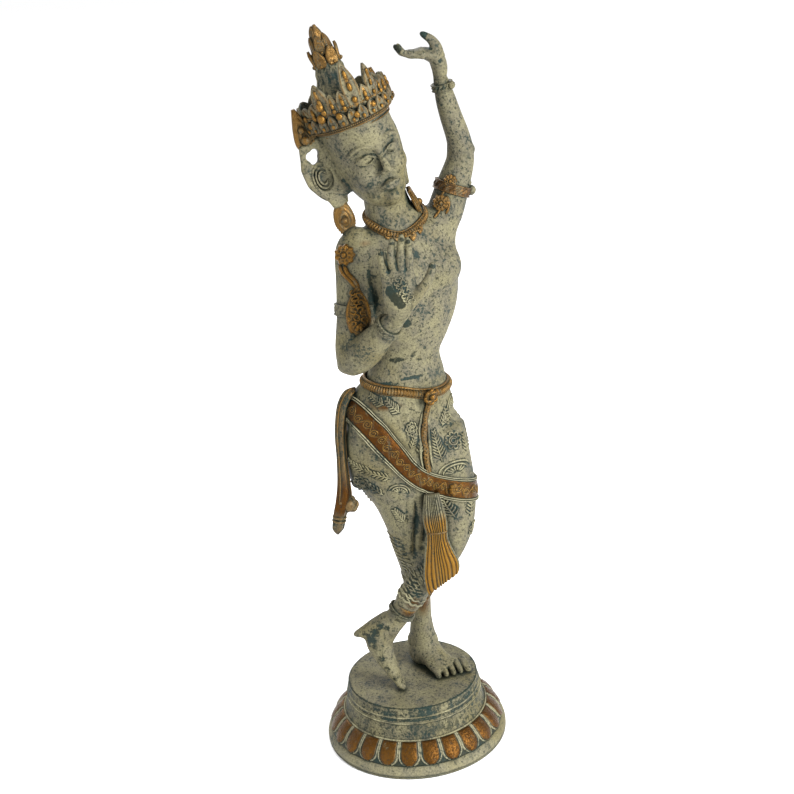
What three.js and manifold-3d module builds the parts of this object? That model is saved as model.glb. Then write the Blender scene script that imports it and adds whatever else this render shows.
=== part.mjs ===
// A dancing figure in cast brass on a round lotus base, as the separate castings that are brazed,
// pegged and screwed together. Millimetres, +Z up, the origin at the middle of the base's underside.
// The figure looks towards -Y and a little towards +X.
import * as THREE from "three";
import { mergeVertices } from "three/addons/utils/BufferGeometryUtils.js";
import Module from "manifold-3d";

const wasm = await Module();
wasm.setup();

// Driving dimensions.
const gap = 0.3; // clearance left between pieces that touch
const footing = 28.9; // height of the platform that the feet stand on
const standing = 3.2; // the figure stands this far off the base's middle, towards +X
const rimRadius = 41.1;
const rimHeight = 2.4;
const drumFoot = 14.3; // height at which the drum leaves the lotus skirt
const drumTop = 21.6;
const wall = 3; // wall of the hollow base castings
const petalCount = 24;
const bodyYaw = THREE.MathUtils.degToRad(30); // how far the chest turns towards +X
const hipYaw = THREE.MathUtils.degToRad(22);
const headYaw = THREE.MathUtils.degToRad(32);
const headTilt = THREE.MathUtils.degToRad(18); // the head leans towards the right shoulder
const headPlace = [-2.6, 1, 269];
const studRadius = 2; // threaded pegs under the feet
const studEnd = 13.5;
const nutAcross = 7;
const nutHeight = 3.2;
const washerRadius = 4.5;
const washerHeight = 0.8;

const vector = (p) => new THREE.Vector3(...p);
const facing = (yaw) => new THREE.Vector3(Math.sin(yaw), -Math.cos(yaw), 0);
const chestFront = facing(bodyYaw);
const hipFront = facing(hipYaw);

// Materials.
const patina = new THREE.MeshStandardMaterial({ color: 0xb3aa97, roughness: 0.75, metalness: 0.1 });
const darkPatina = new THREE.MeshStandardMaterial({ color: 0x6d6f63, roughness: 0.7, metalness: 0.2 });
const gilding = new THREE.MeshStandardMaterial({ color: 0xb8812f, roughness: 0.4, metalness: 0.9 });
const steel = new THREE.MeshStandardMaterial({ color: 0x8c8f92, roughness: 0.4, metalness: 1 });

// A closed three.js geometry as a solid that can be joined and cut.
function solid(geometry) {
  const bare = geometry.clone();
  for (const name of Object.keys(bare.attributes)) {
    if (name !== "position") bare.deleteAttribute(name);
  }
  const merged = mergeVertices(bare, 1e-4);
  return new wasm.Manifold(
    new wasm.Mesh({
      numProp: 3,
      vertProperties: new Float32Array(merged.attributes.position.array),
      triVerts: new Uint32Array(merged.index.array),
    }),
  );
}

// The geometry of a joined or cut solid.
function shape(manifold) {
  const mesh = manifold.getMesh();
  const positions = new Float32Array(mesh.numVert * 3);
  for (let i = 0; i < mesh.numVert; i++) {
    positions.set(mesh.vertProperties.subarray(i * mesh.numProp, i * mesh.numProp + 3), i * 3);
  }
  const geometry = new THREE.BufferGeometry();
  geometry.setAttribute("position", new THREE.BufferAttribute(positions, 3));
  geometry.setIndex(new THREE.BufferAttribute(mesh.triVerts, 1));
  geometry.computeVertexNormals();
  return geometry;
}

const join = (first, ...others) => others.reduce((all, next) => all.add(next), first);
const cut = (first, ...others) => others.reduce((left, next) => left.subtract(next), first);

// A piece turned on the vertical axis: the profile is [radius, height] pairs.
function turned(profile, segments = 40) {
  const points = profile.map(([r, z]) => new THREE.Vector2(r, z));
  return solid(new THREE.LatheGeometry(points, segments).rotateX(Math.PI / 2));
}

function rod(radius, from, to, sides = 10) {
  const a = vector(from);
  const b = vector(to);
  const geometry = new THREE.CylinderGeometry(radius, radius, a.distanceTo(b), sides);
  geometry.applyQuaternion(
    new THREE.Quaternion().setFromUnitVectors(new THREE.Vector3(0, 1, 0), b.clone().sub(a).normalize()),
  );
  const middle = a.add(b).multiplyScalar(0.5);
  return solid(geometry.translate(middle.x, middle.y, middle.z));
}

function ellipsoid(centre, radii, sides = 12) {
  const geometry = new THREE.SphereGeometry(1, sides, Math.round(sides * 0.6));
  return solid(geometry.scale(...radii).translate(...centre));
}

// The centre, tangent, side and front axes and half sizes of a limb at t, from 0 to 1.
// A limb's stations are [x, y, z, half width, half depth].
function section(stations, front, t) {
  const centres = new THREE.CatmullRomCurve3(stations.map(([x, y, z]) => new THREE.Vector3(x, y, z)));
  const sizes = new THREE.CatmullRomCurve3(
    stations.map(([, , , a, b]) => new THREE.Vector3(a, b, 0)), false, "catmullrom", 0.5);
  const centre = centres.getPoint(t);
  const along = centres.getTangent(t);
  const ahead = front.clone().addScaledVector(along, -front.dot(along)).normalize();
  const side = along.clone().cross(ahead);
  const size = sizes.getPoint(t);
  return { centre, along, ahead, side, size };
}

// A limb: a unit turned bar whose rings are laid on the stations' sections. grow swells it all round.
function limb(stations, front, grow = 0, sides = 12, perSpan = 1) {
  const rings = (stations.length - 1) * perSpan;
  const profile = [new THREE.Vector2(0, 0)];
  for (let i = 0; i <= rings; i++) profile.push(new THREE.Vector2(1, i / rings));
  profile.push(new THREE.Vector2(0, 1));
  const geometry = new THREE.LatheGeometry(profile, sides);
  const place = geometry.attributes.position;
  const sections = profile.map(({ y }) => section(stations, front, y));
  for (let i = 0; i < place.count; i++) {
    const t = place.getY(i);
    const { centre, along, ahead, side, size } = sections[Math.round(t * rings) + 1];
    const point = centre.clone();
    point.addScaledVector(side, place.getX(i) * (size.x + grow));
    point.addScaledVector(ahead, place.getZ(i) * (size.y + grow));
    if (t < 1e-6) point.addScaledVector(along, -grow);
    if (t > 1 - 1e-6) point.addScaledVector(along, grow);
    place.setXYZ(i, point.x, point.y, point.z);
  }
  return solid(geometry);
}

// A hoop: a ring of oblong section that follows path(angle), which gives a point, the way out and up.
function hoop(path, halfHeight, halfThick, grow = 0, segments = 20, sides = 6) {
  const geometry = new THREE.TorusGeometry(3, 1, sides, segments);
  const place = geometry.attributes.position;
  for (let i = 0; i < place.count; i++) {
    const angle = Math.atan2(place.getY(i), place.getX(i));
    const outward = Math.hypot(place.getX(i), place.getY(i)) - 3;
    const { point, out, up } = path(angle);
    const moved = point.clone();
    moved.addScaledVector(out, outward * (halfThick + grow));
    moved.addScaledVector(up, place.getZ(i) * (halfHeight + grow));
    place.setXYZ(i, moved.x, moved.y, moved.z);
  }
  return solid(geometry);
}

// The path of a hoop that fits round a limb at t, standing off its surface.
function around(stations, front, t, stand) {
  const { centre, along, ahead, side, size } = section(stations, front, t);
  return (angle) => {
    const x = Math.cos(angle);
    const y = Math.sin(angle);
    const point = centre.clone();
    point.addScaledVector(side, x * (size.x + stand)).addScaledVector(ahead, y * (size.y + stand));
    const out = side.clone().multiplyScalar(x / size.x).addScaledVector(ahead, y / size.y).normalize();
    return { point, out, up: along.clone().negate() };
  };
}

// A leaf-shaped plate in the XZ plane, its foot on z = 0, with its thickness along Y.
function leaf(width, height, thick) {
  const outline = new THREE.Shape();
  outline.moveTo(-width * 0.42, 0);
  outline.quadraticCurveTo(-width * 0.62, height * 0.34, -width * 0.12, height * 0.72);
  outline.lineTo(0, height);
  outline.lineTo(width * 0.12, height * 0.72);
  outline.quadraticCurveTo(width * 0.62, height * 0.34, width * 0.42, 0);
  outline.closePath();
  const geometry = new THREE.ExtrudeGeometry(
    outline, { depth: thick, bevelEnabled: false, curveSegments: 3 },
  );
  return geometry.translate(0, 0, -thick / 2).rotateX(Math.PI / 2);
}

// ---- The limbs' stations: [x, y, z, half width, half depth] ----
const chest = [
  [4.6, 0, 170, 18.8, 13.4],
  [6, 0, 177, 17, 12.4],
  [7.6, 0, 186, 14, 10.6],
  [9.4, 0, 195, 17.4, 11],
  [11.4, 0, 207, 20.4, 12.2],
  [11.4, 0, 220, 21.2, 12.8],
  [10.4, 0.6, 230, 21.6, 11.6],
  [8.6, 1.2, 237, 18.4, 9.4],
  [7, 1.8, 242.4, 11, 8.4],
];
const throat = [
  [6, 1.8, 236, 10.6, 8.4],
  [4.6, 1.6, 244, 10, 8.2],
  [3.4, 0.8, 250.4, 9, 8],
  [2.4, 0.4, 257, 8.2, 7.8],
];
const pelvis = [
  [4.6, 0, 171.4, 18.6, 13.4],
  [3.8, 0, 164, 21.4, 15],
  [2.4, 0, 155, 24.4, 16.6],
  [2.6, 0, 146, 26, 17.4],
  [4.8, -0.6, 136, 25, 16.8],
  [7.6, -1.6, 126, 22, 15.4],
  [9.6, -2.6, 117, 17, 13],
];
const rightThigh = [
  [-7, -1, 146, 13, 12.6],
  [-6.4, -2.6, 135, 12.2, 12.6],
  [-3.4, -4.6, 121, 9.8, 11.4],
  [-0.9, -5.6, 108, 8, 9.4],
];
const rightCalf = [
  [-0.9, -5.6, 108, 8, 9.4],
  [-0.2, -4.4, 98, 6.9, 8],
  [1, -0.6, 87, 6, 6.8],
  [2.2, 3.4, 75, 5, 5.6],
];
const leftThigh = [
  [15, 1.6, 146, 12.6, 12.8],
  [17.6, -1, 134, 12.4, 12.8],
  [19.6, -4.6, 121, 11.6, 11.8],
  [19.4, -7.6, 109, 10, 10.6],
];
const leftCalf = [
  [19.4, -7.6, 109, 10, 10.6],
  [16.8, -10.2, 100.6, 8.8, 9],
  [11, -12, 91, 7.6, 7.6],
  [3.6, -12, 81.5, 6.4, 6.4],
  [-2.8, -11.4, 72, 5.6, 5.6],
];
const rightAnkle = [
  [3, 4, 74.6, 4.6, 5],
  [3.4, 7, 64, 4.4, 4.8],
  [3, 9.4, 52, 4.2, 4.6],
  [2, 10.6, 42, 4.8, 5.6],
  [2, 11, 33, 5.2, 6.4],
  [2, 11, footing + gap, 5, 6],
];
const rightSole = [
  [-0.6, 16.4, 33, 3, 3.6],
  [1.4, 12.6, 34, 5.2, 5],
  [5.4, 7, 34, 5.8, 4.9],
  [10, 1.6, 32.4, 7, 3.4],
  [13.4, -2.6, 31.2, 7.8, 2.3],
];
const leftAnkle = [
  [-3.6, -11.2, 70.6, 5, 5],
  [-6.8, -10.6, 65.4, 5, 4.8],
  [-11.4, -9.6, 59.4, 6.8, 4.8],
  [-14.6, -9, 53, 8.2, 4.8],
  [-13.6, -9.2, 45.6, 6.2, 4.7],
  [-10.8, -9.8, 38, 4, 4.8],
  [-8.6, -10.4, 31.4, 2.4, 4.8],
];
const leftHeel = [
  [-14, -9.2, 57, 5, 4.4],
  [-20, -8.4, 56.8, 3.6, 3.6],
  [-25.6, -7.4, 56, 1.4, 1.6],
];
const rightUpperArm = [
  [-9.6, -5.4, 238.4, 4.6, 5],
  [-11.4, -6.6, 231.6, 7.4, 7.4],
  [-12.4, -8.4, 219, 7.4, 7.2],
  [-13.6, -10.6, 205, 7.4, 7],
  [-16, -13, 192.6, 6.8, 6.4],
  [-17.8, -14.2, 184.6, 4.8, 4.8],
];
const rightForearm = [
  [-17, -14, 186.6, 5.4, 5.6],
  [-13.4, -16.6, 190, 7, 6.6],
  [-8, -20.2, 195.8, 7, 6.3],
  [-2.6, -24.8, 202.4, 5.5, 4.9],
  [2.4, -28.2, 208.2, 4, 3.8],
];
const leftUpperArm = [
  [22.6, 6, 233.6, 7.2, 7],
  [27, 7.4, 240.6, 7.6, 7.2],
  [31, 8.8, 250.4, 7, 6.6],
  [34.6, 9.8, 259.6, 5.9, 5.8],
  [35.8, 10, 265.6, 5.2, 5.2],
];
const leftForearm = [
  [35.8, 10, 264.6, 5.2, 5.2],
  [34.6, 9.8, 271.4, 4.9, 4.8],
  [32.3, 9, 280, 4.5, 4.3],
  [30.6, 8.2, 287.4, 4, 3.8],
  [29.2, 7.5, 295, 2.9, 2.8],
];
const viewFront = facing(0);

// ---- Base ----
const underEdge = rimRadius - wall;
const lotusSkirt = turned([
  [rimRadius - 0.5, 0],
  [rimRadius, 0.6],
  [rimRadius, rimHeight],
  [39.8, 4.9],
  [38.4, 6],
  [32.4, drumFoot - gap],
  [28.6, drumFoot - gap],
  [34.2, 6],
  [underEdge - 0.6, 3.4],
  [underEdge - 0.6, 0],
  [rimRadius - 0.5, 0],
], 40);

// The petals: a turned band whose outer face swells to the middle of each petal.
function petalBand() {
  const perPetal = 3;
  const profile = [[38.75, 6.3], [39, 7.2], [36.6, 10.6], [33.4, 13.7], [32.8, drumFoot - gap], [38.75, 6.3]];
  const points = profile.map(([r, z]) => new THREE.Vector2(r, z));
  const geometry = new THREE.LatheGeometry(points, petalCount * perPetal).rotateX(Math.PI / 2);
  const place = geometry.attributes.position;
  for (let i = 0; i < place.count; i++) {
    const [x, y, z] = [place.getX(i), place.getY(i), place.getZ(i)];
    const radius = Math.hypot(x, y);
    const across = Math.abs(Math.cos((Math.atan2(y, x) * petalCount) / 2));
    const outer = radius - (38.75 - ((z - 6.3) * (38.75 - 32.8)) / (drumFoot - gap - 6.3));
    const swell = outer < 0.3 ? 0 : (0.5 + outer * 0.8) * across;
    place.setXYZ(i, x * (1 + swell / radius), y * (1 + swell / radius), z);
  }
  return solid(geometry);
}
const petalRing = petalBand();

const plinthDrum = turned([
  [32.4, drumFoot],
  [31.7, 15.4],
  [31, 18],
  [30.5, drumTop - gap],
  [27.3, drumTop - gap],
  [28.4, drumFoot],
  [32.4, drumFoot],
], 40);

const rightStudAt = [8, 4.4];
const leftStudAt = [-9, -10.2];
const underPlatform = footing - 3.6;
const platformDisc = cut(
  turned([
    [0, underPlatform],
    [26, underPlatform],
    [27.2, drumTop],
    [30.2, drumTop],
    [30, drumTop + 0.8],
    [29.3, footing - 0.5],
    [28.8, footing],
    [0, footing],
  ], 40),
  ...[rightStudAt, leftStudAt].map(([x, y]) => rod(studRadius + gap, [x + standing, y, 10], [x + standing, y, 40])),
);

const stud = ([x, y], head) => rod(studRadius, [x, y, studEnd], [x, y, head]);

function ringUnder([x, y], outer, inner, top, height, sides) {
  const body = new THREE.CylinderGeometry(outer, outer, height, sides).rotateX(Math.PI / 2);
  return cut(solid(body.translate(x, y, top - height / 2)), rod(inner, [x, y, 0], [x, y, 40]));
}
const washerTop = underPlatform - gap;
const nutTop = washerTop - washerHeight - gap;
const washer = (at) => ringUnder(at, washerRadius, studRadius + gap, washerTop, washerHeight, 24);
const nut = (at) => ringUnder(
  at, nutAcross / 2 / Math.cos(Math.PI / 6), studRadius + gap, nutTop, nutHeight, 6,
);

// ---- Legs and feet ----
const toe = (from, to, width, height, grow = 0) => {
  const middle = from.map((value, i) => (value + to[i]) / 2);
  return limb([
    [...from, width, height],
    [...middle, width * 1.05, height],
    [...to, width * 0.7, height * 0.7],
  ], viewFront.clone().setZ(2), grow, 7, 1);
};
const aboveFooting = turned([[0, footing + gap], [60, footing + gap], [60, 400], [0, 400]], 24);
const rightToes = [0, 1, 2, 3, 4].map((i) => {
  const x = 7.4 + i * 3.2;
  const y = -5.6 + i * 1.15;
  const reach = [3.4, 4.2, 4.6, 4.8, 5.2][i];
  return toe([x, y + 3.4, 31.2], [x + reach * 0.42, y - reach * 0.5, 30.6], i === 4 ? 2 : 1.55, 1.7);
});
const rightFootShape = (grow = 0) => join(
  limb(rightAnkle, viewFront, grow),
  limb(rightSole, new THREE.Vector3(0, 0, 1), grow),
);
const rightFoot = join(
  join(rightFootShape(), ...rightToes).intersect(aboveFooting),
  stud(rightStudAt, 34),
);

const leftToes = [0, 1, 2, 3, 4].map((i) => {
  const y = -6.2 - i * 2;
  const reach = [3.6, 4.2, 4.6, 5, 5][i];
  return toe([-9.4, y, 34], [-9 + reach * 0.3, y, 30.4], 1.2, i === 4 ? 1.7 : 1.3);
});
const leftFootShape = (grow = 0) => join(
  limb(leftAnkle, viewFront, grow),
  limb(leftHeel, viewFront, grow),
);
const leftFoot = join(
  join(leftFootShape(), ...leftToes).intersect(aboveFooting),
  stud(leftStudAt, 36),
);

const rightLegShape = (grow = 0) => limb([...rightThigh, ...rightCalf.slice(1)], hipFront, grow, 14, 2);
const leftLegShape = (grow = 0) => limb([...leftThigh, ...leftCalf.slice(1)], hipFront, grow, 14, 2);
const legCut = 112; // the lower legs are cast from here down
const below = (z) => turned([[0, 0], [90, 0], [90, z], [0, z]], 24);
const above = (z) => turned([[0, z], [90, z], [90, 400], [0, 400]], 24);

const hipShape = (grow = 0) => join(
  limb(pelvis, hipFront, grow, 20, 1), rightLegShape(grow), leftLegShape(grow),
);
const kneeSocket = (at, grow = 0) => rod(
  2.6 + grow, [at[0], at[1], legCut - 3], [at[0], at[1], legCut + 6], 16,
);
const rightKneeAt = [-1.6, -5.2];
const leftKneeAt = [21, -7];
const hipDrape = cut(
  hipShape().intersect(above(legCut + gap)),
  kneeSocket(rightKneeAt, gap),
  kneeSocket(leftKneeAt, gap),
);
const rightLeg = cut(
  join(rightLegShape().intersect(below(legCut)), kneeSocket(rightKneeAt)),
  limb(rightAnkle, viewFront, gap),
);
const leftLeg = cut(
  join(leftLegShape().intersect(below(legCut)), kneeSocket(leftKneeAt)),
  limb(leftAnkle, viewFront, gap),
  rightLegShape(gap).intersect(below(legCut)),
);

// ---- Torso and neck ----
const beside = (across, forward, z) => {
  const side = new THREE.Vector3(0, 0, 1).cross(chestFront).multiplyScalar(across);
  return [11.4 + side.x + chestFront.x * forward, side.y + chestFront.y * forward, z];
};
const bosom = (grow = 0) => [9.6, -9.6].map((across) => ellipsoid(
  beside(across, 6.6, 220), [9.6 + grow, 9 + grow, 9.4 + grow]));
const torsoShape = (grow = 0) => join(
  limb(chest, chestFront, grow, 18, 1), limb(throat, chestFront, grow), ...bosom(grow),
);
const waistPeg = (grow = 0) => rod(6 + grow, [4.8, 0, 165], [4.8, 0, 175], 20);
const torsoFoot = 171.6;

// ---- Arms ----
const rightArmShape = (grow = 0) => join(
  limb(rightUpperArm, chestFront, grow, 12, 2),
  limb(rightForearm, chestFront, grow, 12, 2),
);
const leftArmShape = (grow = 0) => join(
  limb(leftUpperArm, chestFront, grow, 12, 2),
  limb(leftForearm, chestFront, grow, 12, 2),
);
const shoulderPeg = (from, to, grow = 0) => rod(2.8 + grow, from, to, 16);
const rightPeg = (grow = 0) => shoulderPeg([-13, -6.6, 229], [-2, -3, 228], grow);
const leftPeg = (grow = 0) => shoulderPeg([27, 7.4, 240], [17, 4, 229], grow);

const torso = cut(
  join(torsoShape().intersect(above(torsoFoot)), waistPeg()),
  rightArmShape(gap), leftArmShape(gap), rightPeg(gap), leftPeg(gap),
);
const hips = cut(hipDrape.intersect(below(torsoFoot - gap)), waistPeg(gap));
const wristPeg = (a, b, grow = 0) => rod(1.3 + grow, a, b, 12);
const rightWrist = (grow = 0) => wristPeg([0, -26.6, 205.4], [4.6, -30, 213.4], grow);
const leftWrist = (grow = 0) => wristPeg([29.4, 7.8, 291], [28.8, 7.1, 300], grow);
const rightArm = cut(join(rightArmShape(), rightPeg()), rightWrist(gap));
const leftArm = cut(join(leftArmShape(), leftPeg()), leftWrist(gap));

// ---- Hands ----
const finger = (points, from, to, front) => limb(points.map((p, i) => {
  const r = from + (to - from) * (i / (points.length - 1));
  return [...p, r, r];
}), front, 0, 6, 1);
const rightPalm = [
  [3.4, -29.6, 210.2, 3.5, 3.4],
  [4.6, -31, 214, 5.2, 3.9],
  [5.2, -31.4, 218.6, 6.8, 3.7],
  [5.4, -30.8, 224, 6.8, 2.9],
  [5.4, -30.2, 229, 6.3, 2.1],
];
const rightFingers = [
  [[0.6, -30.2, 228], [-0.8, -30, 232.6], [-0.6, -29, 237]],
  [[3.6, -30.2, 229], [3.2, -30.4, 235], [3.9, -29, 239.6]],
  [[6.6, -30.2, 229], [6.9, -30.4, 236], [7.6, -28.8, 241]],
  [[9.4, -30.2, 228], [10, -30.4, 234.6], [9.9, -28.8, 239.8]],
];
const rightThumb = [[8, -31.6, 216], [12.8, -32.4, 220], [16.6, -32.2, 224.6], [18.8, -31, 229.6]];
const rightHand = cut(
  join(
    limb(rightPalm, viewFront),
    ...rightFingers.map((points) => finger(points, 1.6, 1.1, viewFront)),
    finger(rightThumb, 2.4, 1.3, viewFront),
    rightWrist(),
  ),
  rightArm,
);
const leftPalm = [
  [29.1, 7.2, 296.6, 2.6, 2.6],
  [29.1, 6.6, 300, 3.2, 3.6],
  [27.8, 6, 303.6, 3.4, 4.8],
  [24, 5.4, 305.6, 2.4, 5],
  [20.8, 5, 306.2, 1.8, 4.6],
];
const leftFingers = [1.4, 3.8, 6.2, 8.6].map((y, i) => [
  [22.2, y, 305.8],
  [17.6, y - 0.3, 306.6 - i * 0.3],
  [12.2 + Math.abs(i - 1.5) * 0.8, y - 0.6, 309.8 - i * 0.5],
]);
const leftThumb = [[28.6, 4.6, 305], [27.8, 4, 309.4], [24, 3.8, 313]];
const leftHand = cut(
  join(
    limb(leftPalm, viewFront),
    ...leftFingers.map((points) => finger(points, 1.5, 1, viewFront)),
    finger(leftThumb, 2, 1.1, viewFront),
    leftWrist(),
  ),
  leftArm,
);

// ---- Head, in its own frame: the face looks along -Y ----
const headGroup = new THREE.Group();
headGroup.position.set(...headPlace);
headGroup.quaternion.setFromAxisAngle(new THREE.Vector3(0, 1, 0), -headTilt);
headGroup.quaternion.multiply(new THREE.Quaternion().setFromAxisAngle(new THREE.Vector3(0, 0, 1), headYaw));
headGroup.updateMatrixWorld(true);
const toHead = headGroup.matrixWorld.clone().invert();
const inHead = (manifold) => solid(shape(manifold).applyMatrix4(toHead));

const skull = [
  [0, -10, -19.4, 3.2, 3],
  [0, -7.4, -16.6, 8.2, 8.4],
  [0, -3.6, -10.6, 11.6, 13],
  [0, -0.8, -2, 13.8, 16.4],
  [0, 0, 8, 14.6, 18],
  [0, 0.4, 17, 14.2, 17.8],
  [0, 1, 23, 11.8, 14.6],
  [0, 1.4, 26.6, 5, 6.4],
];
const skullShape = (grow = 0) => join(
  limb(skull, viewFront, grow, 16, 1),
  ellipsoid([-3.4, -16.2, -4], [1.9 + grow, 2.8 + grow, 4.4 + grow], 10),
);
const ear = (side, grow = 0) => limb([
  [side * 18.6, 6.4, 11, 4, 1.4],
  [side * 18.4, 6.6, 5, 6.4, 1.8],
  [side * 16.8, 6, -3.4, 6.6, 1.9],
  [side * 15.6, 4.6, -9.6, 5, 1.9],
  [side * 16.8, 4.2, -13.4, 2.4, 1.4],
], viewFront, grow, 8, 1);
const earHole = (side) => rod(2.4, [side * 18.2, -2, 7], [side * 18.2, 20, 7], 12);
const head = cut(
  join(skullShape(), cut(ear(1), earHole(1)), cut(ear(-1), earHole(-1))),
  inHead(throatShape(gap)),
);
function throatShape(grow) {
  return join(limb(throat, chestFront, grow), limb(chest, chestFront, grow, 18, 1));
}

// Crown: a flared band with tall leaves; each is [degrees from the front, width, height].
const bandLow = 16.6;
const bandHigh = 23;
const crownLeaves = [
  [-3, 10, 19],
  [24, 7, 15],
  [-30, 8, 8],
  [50, 9, 7],
  [-60, 10, 13],
  [80, 9, 5],
  [-92, 9, 5],
];
const crownBand = (grow = 0) => cut(
  limb([[0, 0.4, bandLow, 15.8, 19.4], [0, 0.6, bandHigh, 16.6, 20.2]], viewFront, grow, 28, 1),
  limb([[0, 0.4, bandLow - 2, 14.5, 18.1], [0, 0.6, bandHigh + 2, 15, 18.6]], viewFront, -grow, 28, 1),
);
const crownLeaf = (angle, width, height, grow = 0) => {
  const turn = THREE.MathUtils.degToRad(angle);
  const plate = leaf(width + grow * 3, height + grow * 3, 1.6 + grow * 2);
  return solid(plate.rotateX(THREE.MathUtils.degToRad(4)).rotateZ(turn)
    .translate(Math.sin(turn) * 16.2, 0.6 - Math.cos(turn) * 19.3, bandHigh - 1.2 - grow));
};
const crownShape = (grow = 0) => join(
  crownBand(grow), ...crownLeaves.map(([angle, width, height]) => crownLeaf(angle, width, height, grow)));
const crown = cut(crownShape(), skullShape(gap), ear(1, gap), ear(-1, gap));

// Topknot of hair with a gilt flame-shaped finial on it.
const knot = [
  [0, 3, 20, 8.6, 8.6],
  [0.8, 3.6, 29, 7.2, 7],
  [1.8, 4, 35, 5.8, 5.6],
  [2.2, 4.2, 39.4, 5, 4.8],
];
const finialStations = [
  [2.2, 4.2, 38.4, 5.2, 4.8],
  [2.6, 4.2, 43, 4.7, 4.2],
  [2.8, 4, 47.4, 3.5, 3],
  [3, 3.8, 51, 2.6, 2.2],
  [3, 3.6, 54, 1.2, 1],
];
const knotPeg = (grow = 0) => rod(1.6 + grow, [2, 4.2, 34], [2.3, 4.2, 42], 10);
const topknot = cut(
  limb(knot, viewFront, 0, 14, 1),
  skullShape(gap), crownShape(gap), limb(finialStations, viewFront, gap, 12, 1), knotPeg(gap),
);
const finial = join(limb(finialStations, viewFront, 0, 12, 1), knotPeg());

// A leaf of the crown hangs down over each ear.
const sideLeaf = (side) => cut(
  limb([
    [side * 18.8, 6.4, 11.6, 2.8, 1.4],
    [side * 19, 6.4, 14.6, 4.2, 1.6],
    [side * 19.2, 6, 20, 3.4, 1.6],
    [side * 19.4, 5.2, 28, 0.9, 0.8],
  ], viewFront, 0, 10),
  earHole(side), skullShape(gap), ear(side, gap), crownShape(gap),
);

// Earrings hang from the lobes: leaf-shaped plaques, the right one turned to the front.
const earringPlace = { [-1]: [0, 0, 0], 1: [-4.4, -8.2, -5] };
const earringFront = { [-1]: new THREE.Vector3(-0.45, -0.89, 0), 1: new THREE.Vector3(0.85, -0.53, 0) };
const earringShape = (side) => {
  const [x, y, z] = earringPlace[side];
  return limb([
    [side * 17.4 + x, 4 + y, -14 + z, 1.8, 1],
    [side * 18.2 + x, 4.4 + y, -17.4 + z, 4, 1.6],
    [side * 18.7 + x, 4.8 + y, -21.8 + z, 4.1, 1.6],
    [side * 19.4 + x, 5.4 + y, -28 + z, 1.2, 0.8],
  ], earringFront[side], 0, 10);
};
const bodyInHead = [torso, rightArm, leftArm].map(inHead);
const earring = (side) => cut(earringShape(side), ear(side, gap), skullShape(gap), ...bodyInHead);

// ---- Jewellery and cloth ----
const necklaceTilt = 3.6;
const necklace = cut(
  hoop((angle) => {
    const out = new THREE.Vector3(Math.cos(angle), Math.sin(angle), 0);
    const drop = -necklaceTilt * out.dot(chestFront);
    return {
      point: new THREE.Vector3(7 + out.x * 12.4, 1 + out.y * 11.4, 241.2 + drop * 1.2 + out.x * 1.6),
      out,
      up: new THREE.Vector3(0, 0, 1),
    };
  }, 2, 1.9, 0, 24, 6),
  torsoShape(gap), rightArmShape(gap), leftArmShape(gap),
);

const banded = (stations, front, t, halfHeight, thick, ...body) => cut(
  hoop(around(stations, front, t, gap + thick), halfHeight, thick), ...body);
const beltTilt = 1.4;
const beltShape = (grow = 0) => hoop((angle) => {
  const at = around(pelvis, hipFront, 0.05, 1.8)(angle);
  at.point.z -= beltTilt * at.out.dot(hipFront);
  at.up = new THREE.Vector3(0, 0, 1);
  return at;
}, 1.9, 1.4, grow, 28, 6);
const belt = cut(beltShape(), hipShape(gap).intersect(below(torsoFoot - gap)), torsoShape(gap));
const rightArmlet = banded(rightUpperArm, chestFront, 0.55, 2.6, 0.8, torsoShape(gap));
const leftArmlet = join(
  banded(leftUpperArm, chestFront, 0.5, 2.2, 0.8),
  cut(ellipsoid([38.4, 8.6, 248.6], [2.2, 2.2, 2.2], 10), leftArmShape(gap)),
);
const rightBracelet = banded(rightForearm, chestFront, 0.86, 1.7, 0.8, torsoShape(gap));
const leftBracelet = banded(leftForearm, chestFront, 0.88, 1.5, 0.8);
const rightAnklet = banded(rightAnkle, viewFront, 0.1, 2.2, 0.8, leftLegShape(gap), leftFootShape(gap));
const leftAnklet = banded(
  leftAnkle, viewFront, 0.1, 2, 0.8, rightFootShape(gap), rightLegShape(gap), rightAnklet,
);

// A rosette: a round boss that sits on the surface of a limb.
const rosette = (centre, out, radius, thick, body) => {
  const a = vector(centre);
  const b = a.clone().addScaledVector(out.clone().normalize(), thick);
  return cut(rod(radius, a.toArray(), b.toArray(), 18), ...body);
};
const rightShoulderRosette = rosette(
  [-13, -11, 231.4], new THREE.Vector3(-0.25, -1, 0.3), 4.1, 4.6, [rightArmShape(gap), torsoShape(gap)],
);
const leftShoulderRosette = rosette(
  [24.6, 3, 242], new THREE.Vector3(-0.3, -1, 0.2), 3.8, 4, [leftArmShape(gap), torsoShape(gap)],
);

// The point on the hips' surface at a height and an angle from +X, standing off by a little.
function onHips(angle, height, stand) {
  const out = new THREE.Vector3(Math.cos(angle), Math.sin(angle), 0);
  let low = 0;
  let high = 1;
  for (let i = 0; i < 16; i++) {
    const middle = (low + high) / 2;
    if (section(pelvis, hipFront, middle).centre.z > height) low = middle;
    else high = middle;
  }
  const { centre, side, ahead, size } = section(pelvis, hipFront, low);
  const reach = 1 / Math.hypot(out.dot(side) / size.x, out.dot(ahead) / size.y);
  const point = centre.setZ(height).addScaledVector(out, reach + stand);
  return { point, out, up: new THREE.Vector3(0, 0, 1) };
}

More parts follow.
